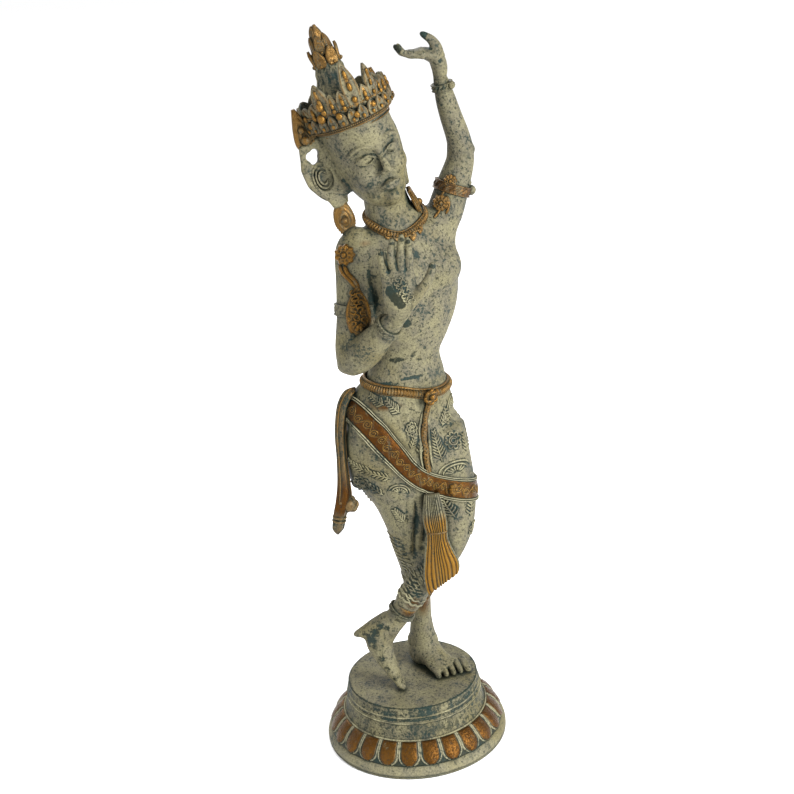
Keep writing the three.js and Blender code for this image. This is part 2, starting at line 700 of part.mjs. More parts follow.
// The sash hangs from the right hip across the front to the left thigh and rises again behind.
// Its height every 30 degrees, from -180 to 180.
const sashHeights = new THREE.CatmullRomCurve3(
  [160, 162.5, 156, 139.5, 130.5, 125, 121, 122.5, 130, 139, 148, 155, 160]
    .map((z, i) => new THREE.Vector3(i, z, 0)),
);
const sashPath = (angle) => {
  const at = (a) => {
    const turn = a - 2 * Math.PI * Math.floor((a + Math.PI) / (2 * Math.PI));
    return onHips(turn, sashHeights.getPoint((turn / Math.PI + 1) / 2).y, 1.4);
  };
  const here = at(angle);
  const along = at(angle + 0.05).point.sub(at(angle - 0.05).point).normalize();
  here.up = here.out.clone().cross(along).normalize();
  return here;
};
const sashShape = (grow = 0) => hoop(sashPath, 2.8, 1.7, grow, 36, 6);
const hipSash = cut(sashShape(), hipShape(gap), beltShape(gap));

const tail = [
  [-19.6, -6, 168, 2.4, 1.8],
  [-23.6, -8.2, 156, 2.4, 2],
  [-25.6, -9.6, 141, 2.6, 2.2],
  [-26.6, -10.4, 128, 2.9, 2.6],
  [-28.6, -11, 118, 2.8, 2.4],
  [-30.2, -11, 109, 1.8, 1.6],
];
const sashTail = cut(
  join(limb(tail, hipFront, 0, 12, 2), ellipsoid([-23.4, -10.6, 122], [3.6, 3, 3.6], 12)),
  hipShape(gap), sashShape(gap),
);
const cordStations = [
  [12.4, -17, 165.6, 1.9, 1.6],
  [11.4, -19, 154, 1.6, 1.5],
  [11, -19.4, 143, 1.6, 1.5],
  [11.2, -18.6, 134.6, 1.8, 1.5],
];
const cordShape = (grow = 0) => limb(cordStations, hipFront, grow, 12, 2);
const beltCord = cut(cordShape(), hipShape(gap), beltShape(gap), sashShape(gap));
const buckle = rosette(
  [11.6, -16, 169.4], hipFront, 3, 5.4, [hipShape(gap), beltShape(gap), torsoShape(gap), cordShape(gap)],
);

// The pleated fall of cloth: a gathered neck under the hem band that opens into a fan.
const fanStations = [
  [11.7, -20.4, 122, 2.8, 2],
  [12, -21, 115.5, 3.6, 2.3],
  [12.4, -21, 108.6, 3.2, 2],
  [12.5, -21.2, 99, 5.6, 2.2],
  [13, -21, 91, 7.4, 2.2],
  [13.2, -20.6, 84.4, 6, 1.8],
];
const pleatedFan = cut(limb(fanStations, viewFront, 0, 16, 2), hipShape(gap), sashShape(gap));

// ---- The assembly ----
const statue = new THREE.Group();
const figure = new THREE.Group();
figure.position.x = standing;
statue.add(figure);
function add(group, name, manifold, material) {
  const mesh = new THREE.Mesh(shape(manifold), material);
  mesh.name = name;
  group.add(mesh);
}
add(statue, "lotus_skirt", lotusSkirt, patina);
add(statue, "lotus_petals", petalRing, gilding);
add(statue, "plinth_drum", plinthDrum, patina);
add(statue, "platform_disc", platformDisc, patina);
for (const [side, at] of [["right", rightStudAt], ["left", leftStudAt]]) {
  add(figure, `${side}_stud_washer`, washer(at), steel);
  add(figure, `${side}_stud_nut`, nut(at), steel);
}
add(figure, "right_foot", rightFoot, patina);
add(figure, "left_foot", leftFoot, patina);
add(figure, "right_leg", rightLeg, patina);
add(figure, "left_leg", leftLeg, patina);
add(figure, "hip_drape", hips, patina);
add(figure, "torso", torso, patina);
add(figure, "right_arm", rightArm, patina);
add(figure, "left_arm", leftArm, patina);
add(figure, "right_hand", rightHand, patina);
add(figure, "left_hand", leftHand, patina);
add(figure, "necklace", necklace, gilding);
add(figure, "belt", belt, gilding);
add(figure, "belt_buckle", buckle, gilding);
add(figure, "belt_cord", beltCord, gilding);
add(figure, "hip_sash", hipSash, gilding);
add(figure, "sash_tail", sashTail, gilding);
add(figure, "pleated_fan", pleatedFan, gilding);
add(figure, "right_armlet", rightArmlet, gilding);
add(figure, "left_armlet", leftArmlet, gilding);
add(figure, "right_shoulder_rosette", rightShoulderRosette, gilding);
add(figure, "left_shoulder_rosette", leftShoulderRosette, gilding);
add(figure, "right_bracelet", rightBracelet, patina);
add(figure, "left_bracelet", leftBracelet, patina);
add(figure, "right_anklet", rightAnklet, gilding);
add(figure, "left_anklet", leftAnklet, gilding);
figure.add(headGroup);
add(headGroup, "head", head, patina);
add(headGroup, "crown", crown, gilding);
add(headGroup, "topknot", topknot, darkPatina);
add(headGroup, "topknot_finial", finial, gilding);
add(headGroup, "right_crown_side_leaf", sideLeaf(-1), gilding);
add(headGroup, "left_crown_side_leaf", sideLeaf(1), gilding);
add(headGroup, "right_earring", earring(-1), gilding);
add(headGroup, "left_earring", earring(1), gilding);

export default statue;
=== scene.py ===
import math

import bpy
import numpy as np
import openvdb
from mathutils import Matrix, Vector
from mathutils.bvhtree import BVHTree


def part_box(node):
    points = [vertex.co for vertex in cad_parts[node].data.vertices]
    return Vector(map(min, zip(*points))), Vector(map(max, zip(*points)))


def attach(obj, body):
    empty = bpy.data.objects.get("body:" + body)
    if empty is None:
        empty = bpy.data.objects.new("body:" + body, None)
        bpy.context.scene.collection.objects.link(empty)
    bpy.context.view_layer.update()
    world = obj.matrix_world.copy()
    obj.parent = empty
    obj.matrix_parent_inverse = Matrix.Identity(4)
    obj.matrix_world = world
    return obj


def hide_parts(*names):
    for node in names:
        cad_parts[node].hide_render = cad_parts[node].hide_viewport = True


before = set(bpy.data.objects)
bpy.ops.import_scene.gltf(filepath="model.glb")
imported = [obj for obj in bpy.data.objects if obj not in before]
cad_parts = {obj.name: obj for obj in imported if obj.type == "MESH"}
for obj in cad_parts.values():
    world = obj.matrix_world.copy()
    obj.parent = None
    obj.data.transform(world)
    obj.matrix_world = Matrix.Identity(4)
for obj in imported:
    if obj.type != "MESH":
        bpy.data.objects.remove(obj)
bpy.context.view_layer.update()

mm = 0.001  # everything below is worked out in millimetres
nutLow, nutHigh = (np.array(corner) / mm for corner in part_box("right_stud_nut"))
figureAt = np.array([(nutLow[0] + nutHigh[0]) / 2 - 8, (nutLow[1] + nutHigh[1]) / 2 - 4.4, 0])
rowAt = np.zeros(3)
chance = np.random.default_rng(7)
print("frame loaded, figure stands at", np.round(figureAt, 2))


# each row divided by its own length
def unit(v):
    return v / np.maximum(np.linalg.norm(v, axis=-1, keepdims=True), 1e-9)


# the level direction that a body part looks in, turned from -Y towards +X
def facing(degrees):
    turn = math.radians(degrees)
    return np.array([math.sin(turn), -math.cos(turn), 0])


chestFront, hipFront, viewFront = facing(30), facing(22), facing(0)
upward = np.array([0, 0, 1.0])
inFront = -60  # y of lines that are drawn before the figure and then laid on it


# Catmull-Rom curve through rows of numbers: each span is the cubic with the slopes of its neighbours
def smoothRows(rows, count, ring=False):
    rows = np.asarray(rows, float)
    if ring:
        rows = np.vstack([rows[-1:], rows, rows[:2]])
    else:
        rows = np.vstack([2 * rows[:1] - rows[1:2], rows, 2 * rows[-1:] - rows[-2:-1]])
    t = np.linspace(0, len(rows) - 3, count, endpoint=not ring)
    i = np.minimum(t.astype(int), len(rows) - 4)
    u = (t - i)[:, None]
    a, b, c, d = rows[i], rows[i + 1], rows[i + 2], rows[i + 3]
    return 0.5 * (2 * b + (c - a) * u + (2 * a - 5 * b + 4 * c - d) * u**2 + (3 * b - a - 3 * c + d) * u**3)


# directions along a line, to its side and towards its front, at right angles to each other
def directions(line, front):
    along = unit(np.gradient(line, axis=0))
    side = unit(np.cross(np.broadcast_to(front, line.shape), along))
    return along, side, np.cross(along, side)


# rows and columns of points as a closed shape, the columns running round; a ring joins its last row to
# its first
def gridShape(points, ring=False):
    rows, cols = points.shape[:2]
    index = np.arange(rows * cols).reshape(rows, cols)
    if ring:
        index = np.vstack([index, index[:1]])
    right = np.roll(index, -1, axis=1)
    quads = np.stack([index[:-1], right[:-1], right[1:], index[1:]], -1).reshape(-1, 4)
    caps = [] if ring else [index[0][::-1], index[-1]]
    flat = points.reshape(-1, 3)
    a, b, c, d = (flat[quads[:, k]] - flat.mean(0) for k in range(4))
    if ((a * np.cross(b, c)).sum() + (a * np.cross(c, d)).sum()) < 0:  # wound inwards, so turned over
        quads = quads[:, ::-1]
        caps = [cap[::-1] for cap in caps]
    return flat, quads, caps


# a profile (across, outward) carried along a line, scaled by size at each place
def carried(line, profile, front, size=1.0, ring=False):
    if ring:
        wrapped = np.vstack([line[-1:], line, line[:1]])
        along = unit(wrapped[2:] - wrapped[:-2])
        side = unit(np.cross(np.broadcast_to(front, line.shape), along))
        ahead = np.cross(along, side)
    else:
        along, side, ahead = directions(line, front)
    size = np.asarray(size, float)
    size = np.broadcast_to(size[:, None] if size.ndim == 1 else size, (len(line), 2))
    across = profile[None, :, 0] * size[:, :1]
    outward = profile[None, :, 1] * size[:, 1:]
    points = line[:, None] + side[:, None] * across[..., None] + ahead[:, None] * outward[..., None]
    return gridShape(points, ring)


# bell curve: exp(-d^2), with d the distance from the middle in widths
def bell(x, middle, width):
    return np.exp(-(((x - middle) / width) ** 2))


# angles of one whole turn in equal steps, without the last, which is the first again
def wholeTurn(count):
    return np.linspace(0, 2 * math.pi, count, endpoint=False)


# a circle of points, or an ellipse: cosine across and sine outward
def circle(count, across=1.0, outward=1.0):
    turn = wholeTurn(count)
    return np.stack([np.cos(turn) * across, np.sin(turn) * outward], -1)


# round wire along a line, its ends drawn to points
def wire(line, radius, front=(0, -1, 0.01), sides=6, taper=True, flat=1.0):
    line = np.asarray(line, float)
    t = np.linspace(0, 1, len(line))
    size = np.full(len(line), float(radius))
    if taper:
        size = size * (0.12 + 0.88 * np.clip(np.minimum(t, 1 - t) * 7, 0, 1) ** 0.5)
    return carried(line, circle(sides, 1.0, flat), np.asarray(front, float), size)


# a profile (radius, height) turned about an upright axis
def turnedShape(profile, columns):
    profile = np.asarray(profile, float)
    turn = wholeTurn(columns)[:, None]
    x, y = np.cos(turn) * profile[None, :, 0], np.sin(turn) * profile[None, :, 0]
    points = np.stack([x, y, np.broadcast_to(profile[None, :, 1], x.shape)], -1)
    return gridShape(points, ring=True)


# round beads of a few faces: every centre gets the same small ball, stretched by its own radii
def beads(centres, radii, axes=None, sides=8):
    centres = np.atleast_2d(np.asarray(centres, float))
    radii = np.broadcast_to(np.asarray(radii, float).reshape(-1, 1) if np.ndim(radii) == 1 else radii, centres.shape)
    lift = np.radians([-66, -33, 0, 33, 66])[:, None]
    turn = wholeTurn(sides)[None]
    ball = np.stack([np.cos(lift) * np.cos(turn), np.cos(lift) * np.sin(turn), np.sin(lift) + 0 * turn], -1)
    flat, quads, caps = gridShape(ball)
    local = flat[None] * radii[:, None]
    if axes is not None:  # rows of axes are the directions of the three radii
        local = np.einsum("kni,kij->knj", local, np.broadcast_to(axes, (len(centres), 3, 3)))
    points = local + centres[:, None]
    step = (np.arange(len(centres)) * len(flat))[:, None, None]
    allCaps = [cap + k * len(flat) for k in range(len(centres)) for cap in caps]
    return points.reshape(-1, 3), (quads[None] + step).reshape(-1, 4), allCaps


# several shapes as one: points stacked, with each shape's faces counted on from the ones before
def joined(*shapes):
    points, quads, caps, start = [], [], [], 0
    for p, q, c in shapes:
        points.append(p)
        quads.append(q + start)
        caps.extend(cap + start for cap in c)
        start += len(p)
    return np.vstack(points), np.vstack(quads), caps


# a finished piece: its mesh in place, its material, its slot and the CAD nodes it stands for
def addPiece(name, shape, material, nodes=(), at=figureAt, layers=None):
    points, quads, caps = shape
    mesh = bpy.data.meshes.new(name)
    faces = quads.tolist() + [[int(i) for i in cap] for cap in caps]
    mesh.from_pydata(((points + at) * mm).tolist(), [], faces)
    mesh.polygons.foreach_set("use_smooth", np.ones(len(mesh.polygons), bool))
    for key, values in (layers or {}).items():
        made = mesh.attributes.new(key, "FLOAT", "POINT")
        made.data.foreach_set("value", np.asarray(values, np.float32))
    mesh.materials.append(material)
    piece = bpy.data.objects.new(name, mesh)
    bpy.context.collection.objects.link(piece)
    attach(piece, "root")
    if nodes:
        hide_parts(*nodes)
    return piece


# bodies are distance fields: a grid whose points hold how far they lie outside the form, 6 mm to start with
def newField(low, high, step):
    low, high = np.array(low, float), np.array(high, float)
    counts = np.ceil((high - low) / step).astype(int) + 1
    return {"low": low, "step": step, "values": np.full(counts, 6, np.float32)}


# the part of the grid between two corners, with its points
def windowOf(field, low, high):
    first = np.clip(np.floor((low - field["low"]) / field["step"]).astype(int), 0, None)
    last = np.minimum(np.ceil((high - field["low"]) / field["step"]).astype(int) + 1, field["values"].shape)
    part = tuple(slice(a, b) for a, b in zip(first, last))
    axes = [field["low"][k] + field["step"] * np.arange(first[k], last[k]) for k in range(3)]
    return part, np.stack(np.meshgrid(*axes, indexing="ij"), -1).astype(np.float32)


# smooth minimum: near equal values round over within the blend; a cut takes the form away instead
def merge(field, part, distance, blend, cut=False):
    old = field["values"][part]
    sign = -1.0 if cut else 1.0
    a, b = old * sign, distance
    h = np.clip(0.5 + 0.5 * (a - b) / blend, 0, 1)
    field["values"][part] = sign * (a * (1 - h) + b * h - blend * h * (1 - h))


# how far points lie outside an ellipse or ellipsoid, from their offsets and its radii
def beyondEllipse(offset, radii):
    k0 = np.sqrt(((offset / radii) ** 2).sum(-1))
    k1 = np.sqrt(((offset / radii**2) ** 2).sum(-1))
    return np.where(k0 < 0.05, -radii.min(-1), k0 * (k0 - 1) / np.maximum(k1, 1e-6))


# distance from a limb: the nearest place on its smooth centre line, then the ellipse there
def limbDistance(points, stations, front, ends):
    stations = np.asarray(stations, float)
    reach = np.linalg.norm(np.diff(stations[:, :3], axis=0), axis=1).sum()
    rows = smoothRows(stations, max(8, int(reach / 0.7)))
    line, sizes = rows[:, :3], rows[:, 3:]
    along, side, ahead = directions(line, front)
    length = np.linalg.norm(np.gradient(line, axis=0), axis=1)[:, None]
    slope = np.gradient(sizes, axis=0) / length
    half = (line**2).sum(1) / 2
    nearest = np.empty(len(points), int)
    for start in range(0, len(points), 200000):
        some = points[start:start + 200000]
        nearest[start:start + 200000] = np.argmin(half - some @ line.T.astype(np.float32), axis=1)
    off = points - line[nearest]
    run = (off * along[nearest]).sum(1)
    radii = np.maximum(sizes[nearest] + slope[nearest] * np.clip(run, -0.7, 0.7)[:, None], 0.3)
    past = np.where(nearest == 0, np.minimum(run, 0) / ends[0], 0)
    past = past + np.where(nearest == len(line) - 1, np.maximum(run, 0) / ends[1], 0)
    small = radii.min(1)
    offset = np.stack([(off * side[nearest]).sum(1), (off * ahead[nearest]).sum(1), past * small], -1)
    return beyondEllipse(offset, np.concatenate([radii, small[:, None]], 1))


# a limb merged into the field: tapering ellipses on a smooth line, ends rounded by their own stretch
def addLimb(field, stations, front, blend=1.5, ends=(1.5, 1.5), cut=False):
    stations = np.asarray(stations, float)
    room = stations[:, 3:].max() + blend + 3
    part, grid = windowOf(field, stations[:, :3].min(0) - room, stations[:, :3].max(0) + room)
    if min(grid.shape[:3]) == 0:
        return
    distance = limbDistance(grid.reshape(-1, 3), stations, front, ends).reshape(grid.shape[:3])
    merge(field, part, distance.astype(np.float32), blend, cut)


# an ellipsoid; the rows of axes are the directions of its radii
def addBlob(field, centre, radii, blend=1.5, axes=None, cut=False):
    centre, radii = np.asarray(centre, float), np.asarray(radii, float)
    room = radii.max() + blend + 2
    part, grid = windowOf(field, centre - room, centre + room)
    if min(grid.shape[:3]) == 0:
        return
    offset = grid - centre
    if axes is not None:
        offset = offset @ np.asarray(axes, float).T
    merge(field, part, beyondEllipse(offset, radii).astype(np.float32), blend, cut)


# keeps only what lies above a height
def cutBelow(field, height):
    z = field["low"][2] + field["step"] * np.arange(field["values"].shape[2])
    field["values"] = np.maximum(field["values"], (height - z).astype(np.float32)[None, None])


# a normal for each point: the sum of the cross products of its faces' diagonals, made one long
def normalsOf(points, quads):
    p0, p1, p2, p3 = (points[quads[:, k]] for k in range(4))
    face = np.cross(p2 - p0, p3 - p1)
    corner = quads.ravel()
    each = np.repeat(face, 4, axis=0)
    return unit(np.stack([np.bincount(corner, each[:, k], len(points)) for k in range(3)], -1))


# mean of each point's neighbours, for one or more numbers a point
def neighbourMean(values, quads, count):
    a, b = quads.ravel(), np.roll(quads, -1, 1).ravel()
    total = np.stack([np.bincount(a, values[b, k], count) for k in range(values.shape[1])], -1)
    return total / np.maximum(np.bincount(a, minlength=count), 1)[:, None]


# the zero surface of a field as quads, eased a little so that the grid doesn't show
def skinOf(field, rounds=3):
    grid = openvdb.FloatGrid(background=3.0)
    grid.copyFromArray(np.clip(field["values"], -3, 3))
    points, quads = grid.convertToQuads(isovalue=0)
    points = points.astype(float) * field["step"] + field["low"]
    quads = quads.astype(int)
    for share in [0.5, -0.52] * rounds:
        points = points + (neighbourMean(points, quads, len(points)) - points) * share
    return points, quads


# how hollow the skin is at each point, from 0 on swellings to 1 in creases
def hollowness(points, quads, gain, rounds=4):
    normals = normalsOf(points, quads)
    mean = points
    for _ in range(rounds):
        mean = neighbourMean(mean, quads, len(points))
    depth = ((mean - points) * normals).sum(1, keepdims=True)
    depth = neighbourMean(depth, quads, len(points))
    return np.clip(0.5 + depth[:, 0] * gain, 0, 1)


# pushes points along their normals: depth times a round hill that fades with distance
def dent(points, normals, centre, radii, depth):
    away = (((points - np.asarray(centre)) / np.asarray(radii)) ** 2).sum(1)
    return points + normals * (depth * np.exp(-away))[:, None]


# a skin made ready for casting rays at it
def treeOf(points, quads):
    return BVHTree.FromPolygons(points.tolist(), quads.tolist())


# points of a drawn line laid on a skin: each goes straight back along +Y to the skin, and is lifted off it
def laidOn(tree, line, lift):
    toward = Vector((0, 1, 0))
    laid, last = [], None
    for p in np.asarray(line, float):
        hit, normal, _, _ = tree.ray_cast(Vector(p) - toward * 90, toward)
        if hit is None:
            hit, normal, _, _ = tree.find_nearest(Vector(p) if last is None else last)
        last = hit
        laid.append(hit + normal * lift)
    return np.array(laid)


# one shader node, with links or values put into its inputs and settings set on it
def addNode(tree, kind, inputs=None, **settings):
    node = tree.nodes.new(kind)
    for key, value in settings.items():
        setattr(node, key, value)
    for key, value in (inputs or {}).items():
        if isinstance(value, bpy.types.NodeSocket):
            tree.links.new(value, node.inputs[key])
        else:
            node.inputs[key].default_value = value
    return node


# cloudy noise from 0 to 1, its scale in lumps a metre
def noiseAt(tree, place, scale, detail=3.0, rough=0.55):
    return addNode(
        tree, "ShaderNodeTexNoise", {"Vector": place, "Scale": scale, "Detail": detail, "Roughness": rough},
    ).outputs["Fac"]


# a number spread so that low goes to 0 and high to 1, smoothly
def between(tree, value, low, high, toLow=0.0, toHigh=1.0):
    inputs = {"Value": value, "From Min": low, "From Max": high, "To Min": toLow, "To Max": toHigh}
    return addNode(tree, "ShaderNodeMapRange", inputs, interpolation_type="SMOOTHSTEP").outputs["Result"]


# a and b put through one arithmetic step, kept within 0 and 1 if clamped
def sums(tree, operation, a, b, clamp=False):
    return addNode(tree, "ShaderNodeMath", {0: a, 1: b}, operation=operation, use_clamp=clamp).outputs[0]


# a times b
def times(tree, a, b):
    return sums(tree, "MULTIPLY", a, b)


# the larger of a and b
def most(tree, a, b, clamp=False):
    return sums(tree, "MAXIMUM", a, b, clamp)


# colour a at share 0 and colour b at share 1
def mixed(tree, share, a, b):
    node = addNode(tree, "ShaderNodeMix", {0: share, 6: a, 7: b}, data_type="RGBA")
    return node.outputs[2]


# Aged cast brass: whitewash over green-black bronze that shows in hollows, specks and streaks,
# and gold with a brown wash wherever the gild layer (or the whole piece) says so. The dark in hollows
# and where pieces meet is partly patina and partly painted shade.
def agedBrass(name, look):
    material = bpy.data.materials.new(name)
    material.use_nodes = True
    tree = material.node_tree
    tree.nodes.clear()
    place = addNode(tree, "ShaderNodeTexCoord").outputs["Object"]
    stretched = addNode(tree, "ShaderNodeMapping", {"Vector": place, "Scale": (1.0, 1.0, 0.16)}).outputs["Vector"]
    fine = noiseAt(tree, place, 1500, 4.0, 0.65)
    grit = noiseAt(tree, place, 860, 5.0, 0.7)
    patch = noiseAt(tree, place, 105, 7.0, 0.66)
    broad = noiseAt(tree, place, 34, 4.0, 0.6)
    streak = noiseAt(tree, stretched, 330, 5.0, 0.65)
    # ambient occlusion darkens the wash to bronze and the gold to brown where the surface is shut in: patina in the
    # hollows, and painted shade where pieces meet and overlap, such as behind the hand and under the jewellery
    openness = addNode(tree, "ShaderNodeAmbientOcclusion", {"Distance": look["creaseReach"]}, samples=6).outputs["AO"]
    recessAndShade = between(tree, openness, look["creaseOpen"], look["creaseShut"])
    # the hollow layer: patina in the hollows of each piece, and on the torso and hands also patches of painted shade
    hollow = addNode(tree, "ShaderNodeAttribute", attribute_name="hollow").outputs["Fac"]
    ragged = sums(tree, "ADD", hollow, times(tree, sums(tree, "SUBTRACT", grit, 0.5), 0.9))
    ragged = sums(tree, "ADD", ragged, times(tree, sums(tree, "SUBTRACT", patch, 0.5), 0.7))
    creaseAndShade = between(tree, ragged, 0.6, 0.78)
    rubbed = addNode(tree, "ShaderNodeAttribute", attribute_name="rubbed").outputs["Fac"]
    worn = between(tree, hollow, 0.46, 0.2)
    gild = addNode(tree, "ShaderNodeAttribute", attribute_name="gild").outputs["Fac"]

    patchy = times(tree, sums(tree, "SUBTRACT", patch, 0.5), 0.22)
    specks = between(tree, sums(tree, "ADD", grit, patchy), look["specks"], look["specks"] + 0.05)
    blots = times(tree, between(tree, patch, look["blots"], look["blots"] + 0.12), between(tree, grit, 0.42, 0.56))
    runs = times(tree, between(tree, streak, look["runs"], look["runs"] + 0.13), between(tree, broad, 0.42, 0.6))
    dirt = most(tree, times(tree, specks, 0.8), times(tree, blots, 0.92))
    dirt = most(tree, dirt, times(tree, runs, 0.8))
    # deep: the dark of hollows and creases, partly patina and partly painted shade from the occlusion and the shade
    # patches
    deep = most(tree, times(tree, recessAndShade, 0.9), times(tree, creaseAndShade, 0.96))
    broken = between(tree, grit, 0.3, 0.5, 0.86, 1.0)
    dirt = most(tree, dirt, times(tree, deep, broken), True)

    wash = mixed(tree, between(tree, patch, 0.36, 0.64), look["wash"], look["washGrey"])
    wash = mixed(tree, between(tree, broad, 0.5, 0.68, 0.0, 0.75), wash, look["washWarm"])
    wash = mixed(tree, between(tree, fine, 0.4, 0.66, 0.0, 0.55), wash, look["washShade"])
    wash = mixed(tree, times(tree, rubbed, 0.8), wash, look["washEdge"])
    under = mixed(tree, between(tree, patch, 0.42, 0.6), look["bronze"], look["bronzeBlue"])
    body = mixed(tree, dirt, wash, under)

    brown = most(
        tree, between(tree, grit, 0.44, 0.66, 0.0, 0.75), most(tree, deep, between(tree, patch, 0.54, 0.7, 0.0, 0.6)),
        True,
    )
    gold = mixed(tree, brown, look["gold"], look["goldBrown"])
    gold = mixed(tree, between(tree, broad, 0.4, 0.62, 0.0, 0.6), gold, look["goldDeep"])
    gold = mixed(tree, times(tree, worn, 0.5), gold, look["goldBright"])
    gold = mixed(tree, times(tree, deep, between(tree, fine, 0.4, 0.62)), gold, look["bronze"])
    dusted = times(tree, between(tree, streak, look["dust"], look["dust"] + 0.1), between(tree, fine, 0.4, 0.6))
    gilded = most(tree, gild, look["gilding"])
    dustPatinaAndShade = most(tree, dusted, times(tree, deep, 0.9))
    shown = sums(tree, "MULTIPLY", gilded, sums(tree, "SUBTRACT", 1.0, times(tree, dustPatinaAndShade, 0.85)), True)
    colour = mixed(tree, shown, body, gold)

    metal = times(tree, shown, between(tree, brown, 0.1, 0.9, 0.85, 0.35))
    bareMetal = times(tree, dirt, 0.08)
    metal = most(tree, metal, bareMetal, True)
    roughWash = between(tree, dirt, 0.2, 0.9, look["washRough"], 0.5)
    roughGold = between(tree, brown, 0.2, 0.9, 0.34, 0.62)
    rough = addNode(tree, "ShaderNodeMix", {0: shown, 2: roughWash, 3: roughGold}, data_type="FLOAT").outputs[0]
    relief = sums(tree, "ADD", times(tree, fine, 0.5), times(tree, grit, 0.8))
    relief = sums(tree, "SUBTRACT", relief, times(tree, dirt, 0.5))
    bump = addNode(
        tree, "ShaderNodeBump", {"Height": relief, "Strength": look["bump"], "Distance": 0.0004},
    ).outputs["Normal"]
    shader = addNode(
        tree, "ShaderNodeBsdfPrincipled",
        {"Base Color": colour, "Metallic": metal, "Roughness": rough, "Normal": bump, "Specular IOR Level": 0.13},
    )
    addNode(tree, "ShaderNodeOutputMaterial", {"Surface": shader.outputs[0]})
    return material


brassLook = {
    "wash": (0.13, 0.119, 0.066, 1), "washGrey": (0.088, 0.08, 0.054, 1), "washWarm": (0.108, 0.092, 0.04, 1),
    "washEdge": (0.26, 0.245, 0.16, 1),
    "washShade": (0.034, 0.031, 0.02, 1), "bronze": (0.008, 0.011, 0.006, 1), "bronzeBlue": (0.004, 0.014, 0.012, 1),
    "gold": (0.06, 0.025, 0.004, 1), "goldBright": (0.17, 0.09, 0.018, 1), "goldDeep": (0.042, 0.015, 0.0025, 1),
    "goldBrown": (0.011, 0.007, 0.004, 1), "creaseReach": 0.0034, "creaseOpen": 0.9, "creaseShut": 0.52,
    "specks": 0.55, "blots": 0.55, "runs": 0.55, "dust": 0.56, "gilding": 0.0, "washRough": 0.6, "bump": 0.8,
}
patinaWash = agedBrass("patinaWash", brassLook)
paleWash = agedBrass(
    "paleWash", {**brassLook, "wash": (0.17, 0.156, 0.09, 1), "washGrey": (0.125, 0.115, 0.076, 1), "specks": 0.58},
)
ridgeWash = agedBrass(
    "ridgeWash", {**brassLook, "creaseReach": 0.0005, "wash": (0.23, 0.215, 0.125, 1), "specks": 0.6},
)
darkPatina = agedBrass(
    "darkPatina", {**brassLook, "specks": 0.5, "blots": 0.47, "runs": 0.48, "washGrey": (0.055, 0.051, 0.036, 1)},
)
rubbedGold = agedBrass("rubbedGold", {**brassLook, "gilding": 1.0, "creaseReach": 0.0022})
brightGold = agedBrass(
    "brightGold", {**brassLook, "gilding": 1.0, "creaseReach": 0.001, "gold": (0.13, 0.066, 0.014, 1)},
)
leafWash = agedBrass("leafWash", {**brassLook, "creaseReach": 0.0018, "gold": (0.12, 0.064, 0.016, 1)})
knottedGold = agedBrass(
    "knottedGold", {**brassLook, "gilding": 0.55, "dust": 0.5, "specks": 0.5, "creaseReach": 0.002},
)
fanWash = agedBrass(
    "fanWash",
    {
        **brassLook, "creaseReach": 0.001, "gold": (0.115, 0.055, 0.007, 1), "goldDeep": (0.1, 0.042, 0.004, 1),
        "goldBright": (0.24, 0.13, 0.022, 1)
    },
)
washedGold = agedBrass("washedGold", {**brassLook, "gilding": 0.88, "dust": 0.5, "creaseReach": 0.002})


# bare steel of the fixings, with a little rust
def fixingSteel():
    material = bpy.data.materials.new("fixingSteel")
    material.use_nodes = True
    tree = material.node_tree
    shader = tree.nodes["Principled BSDF"]
    place = addNode(tree, "ShaderNodeTexCoord").outputs["Object"]
    rust = between(tree, noiseAt(tree, place, 500, 5.0), 0.5, 0.62)
    tree.links.new(mixed(tree, rust, (0.42, 0.42, 0.43, 1), (0.17, 0.08, 0.04, 1)), shader.inputs["Base Color"])
    tree.links.new(between(tree, rust, 0.0, 1.0, 0.95, 0.2), shader.inputs["Metallic"])
    tree.links.new(between(tree, rust, 0.0, 1.0, 0.35, 0.8), shader.inputs["Roughness"])
    return material


steelFinish = fixingSteel()
for node in ["right_stud_washer", "right_stud_nut", "left_stud_washer", "left_stud_nut"]:
    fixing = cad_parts[node]
    for place in range(max(1, len(fixing.material_slots))):
        if fixing.material_slots:
            fixing.material_slots[place].material = steelFinish
        else:
            fixing.data.materials.append(steelFinish)
print("materials made")


studio = {"floor": (0.97, 0.97, 0.97, 1), "world": 1.0, "key": 42.0, "fill": 5.0, "rim": 5.0}


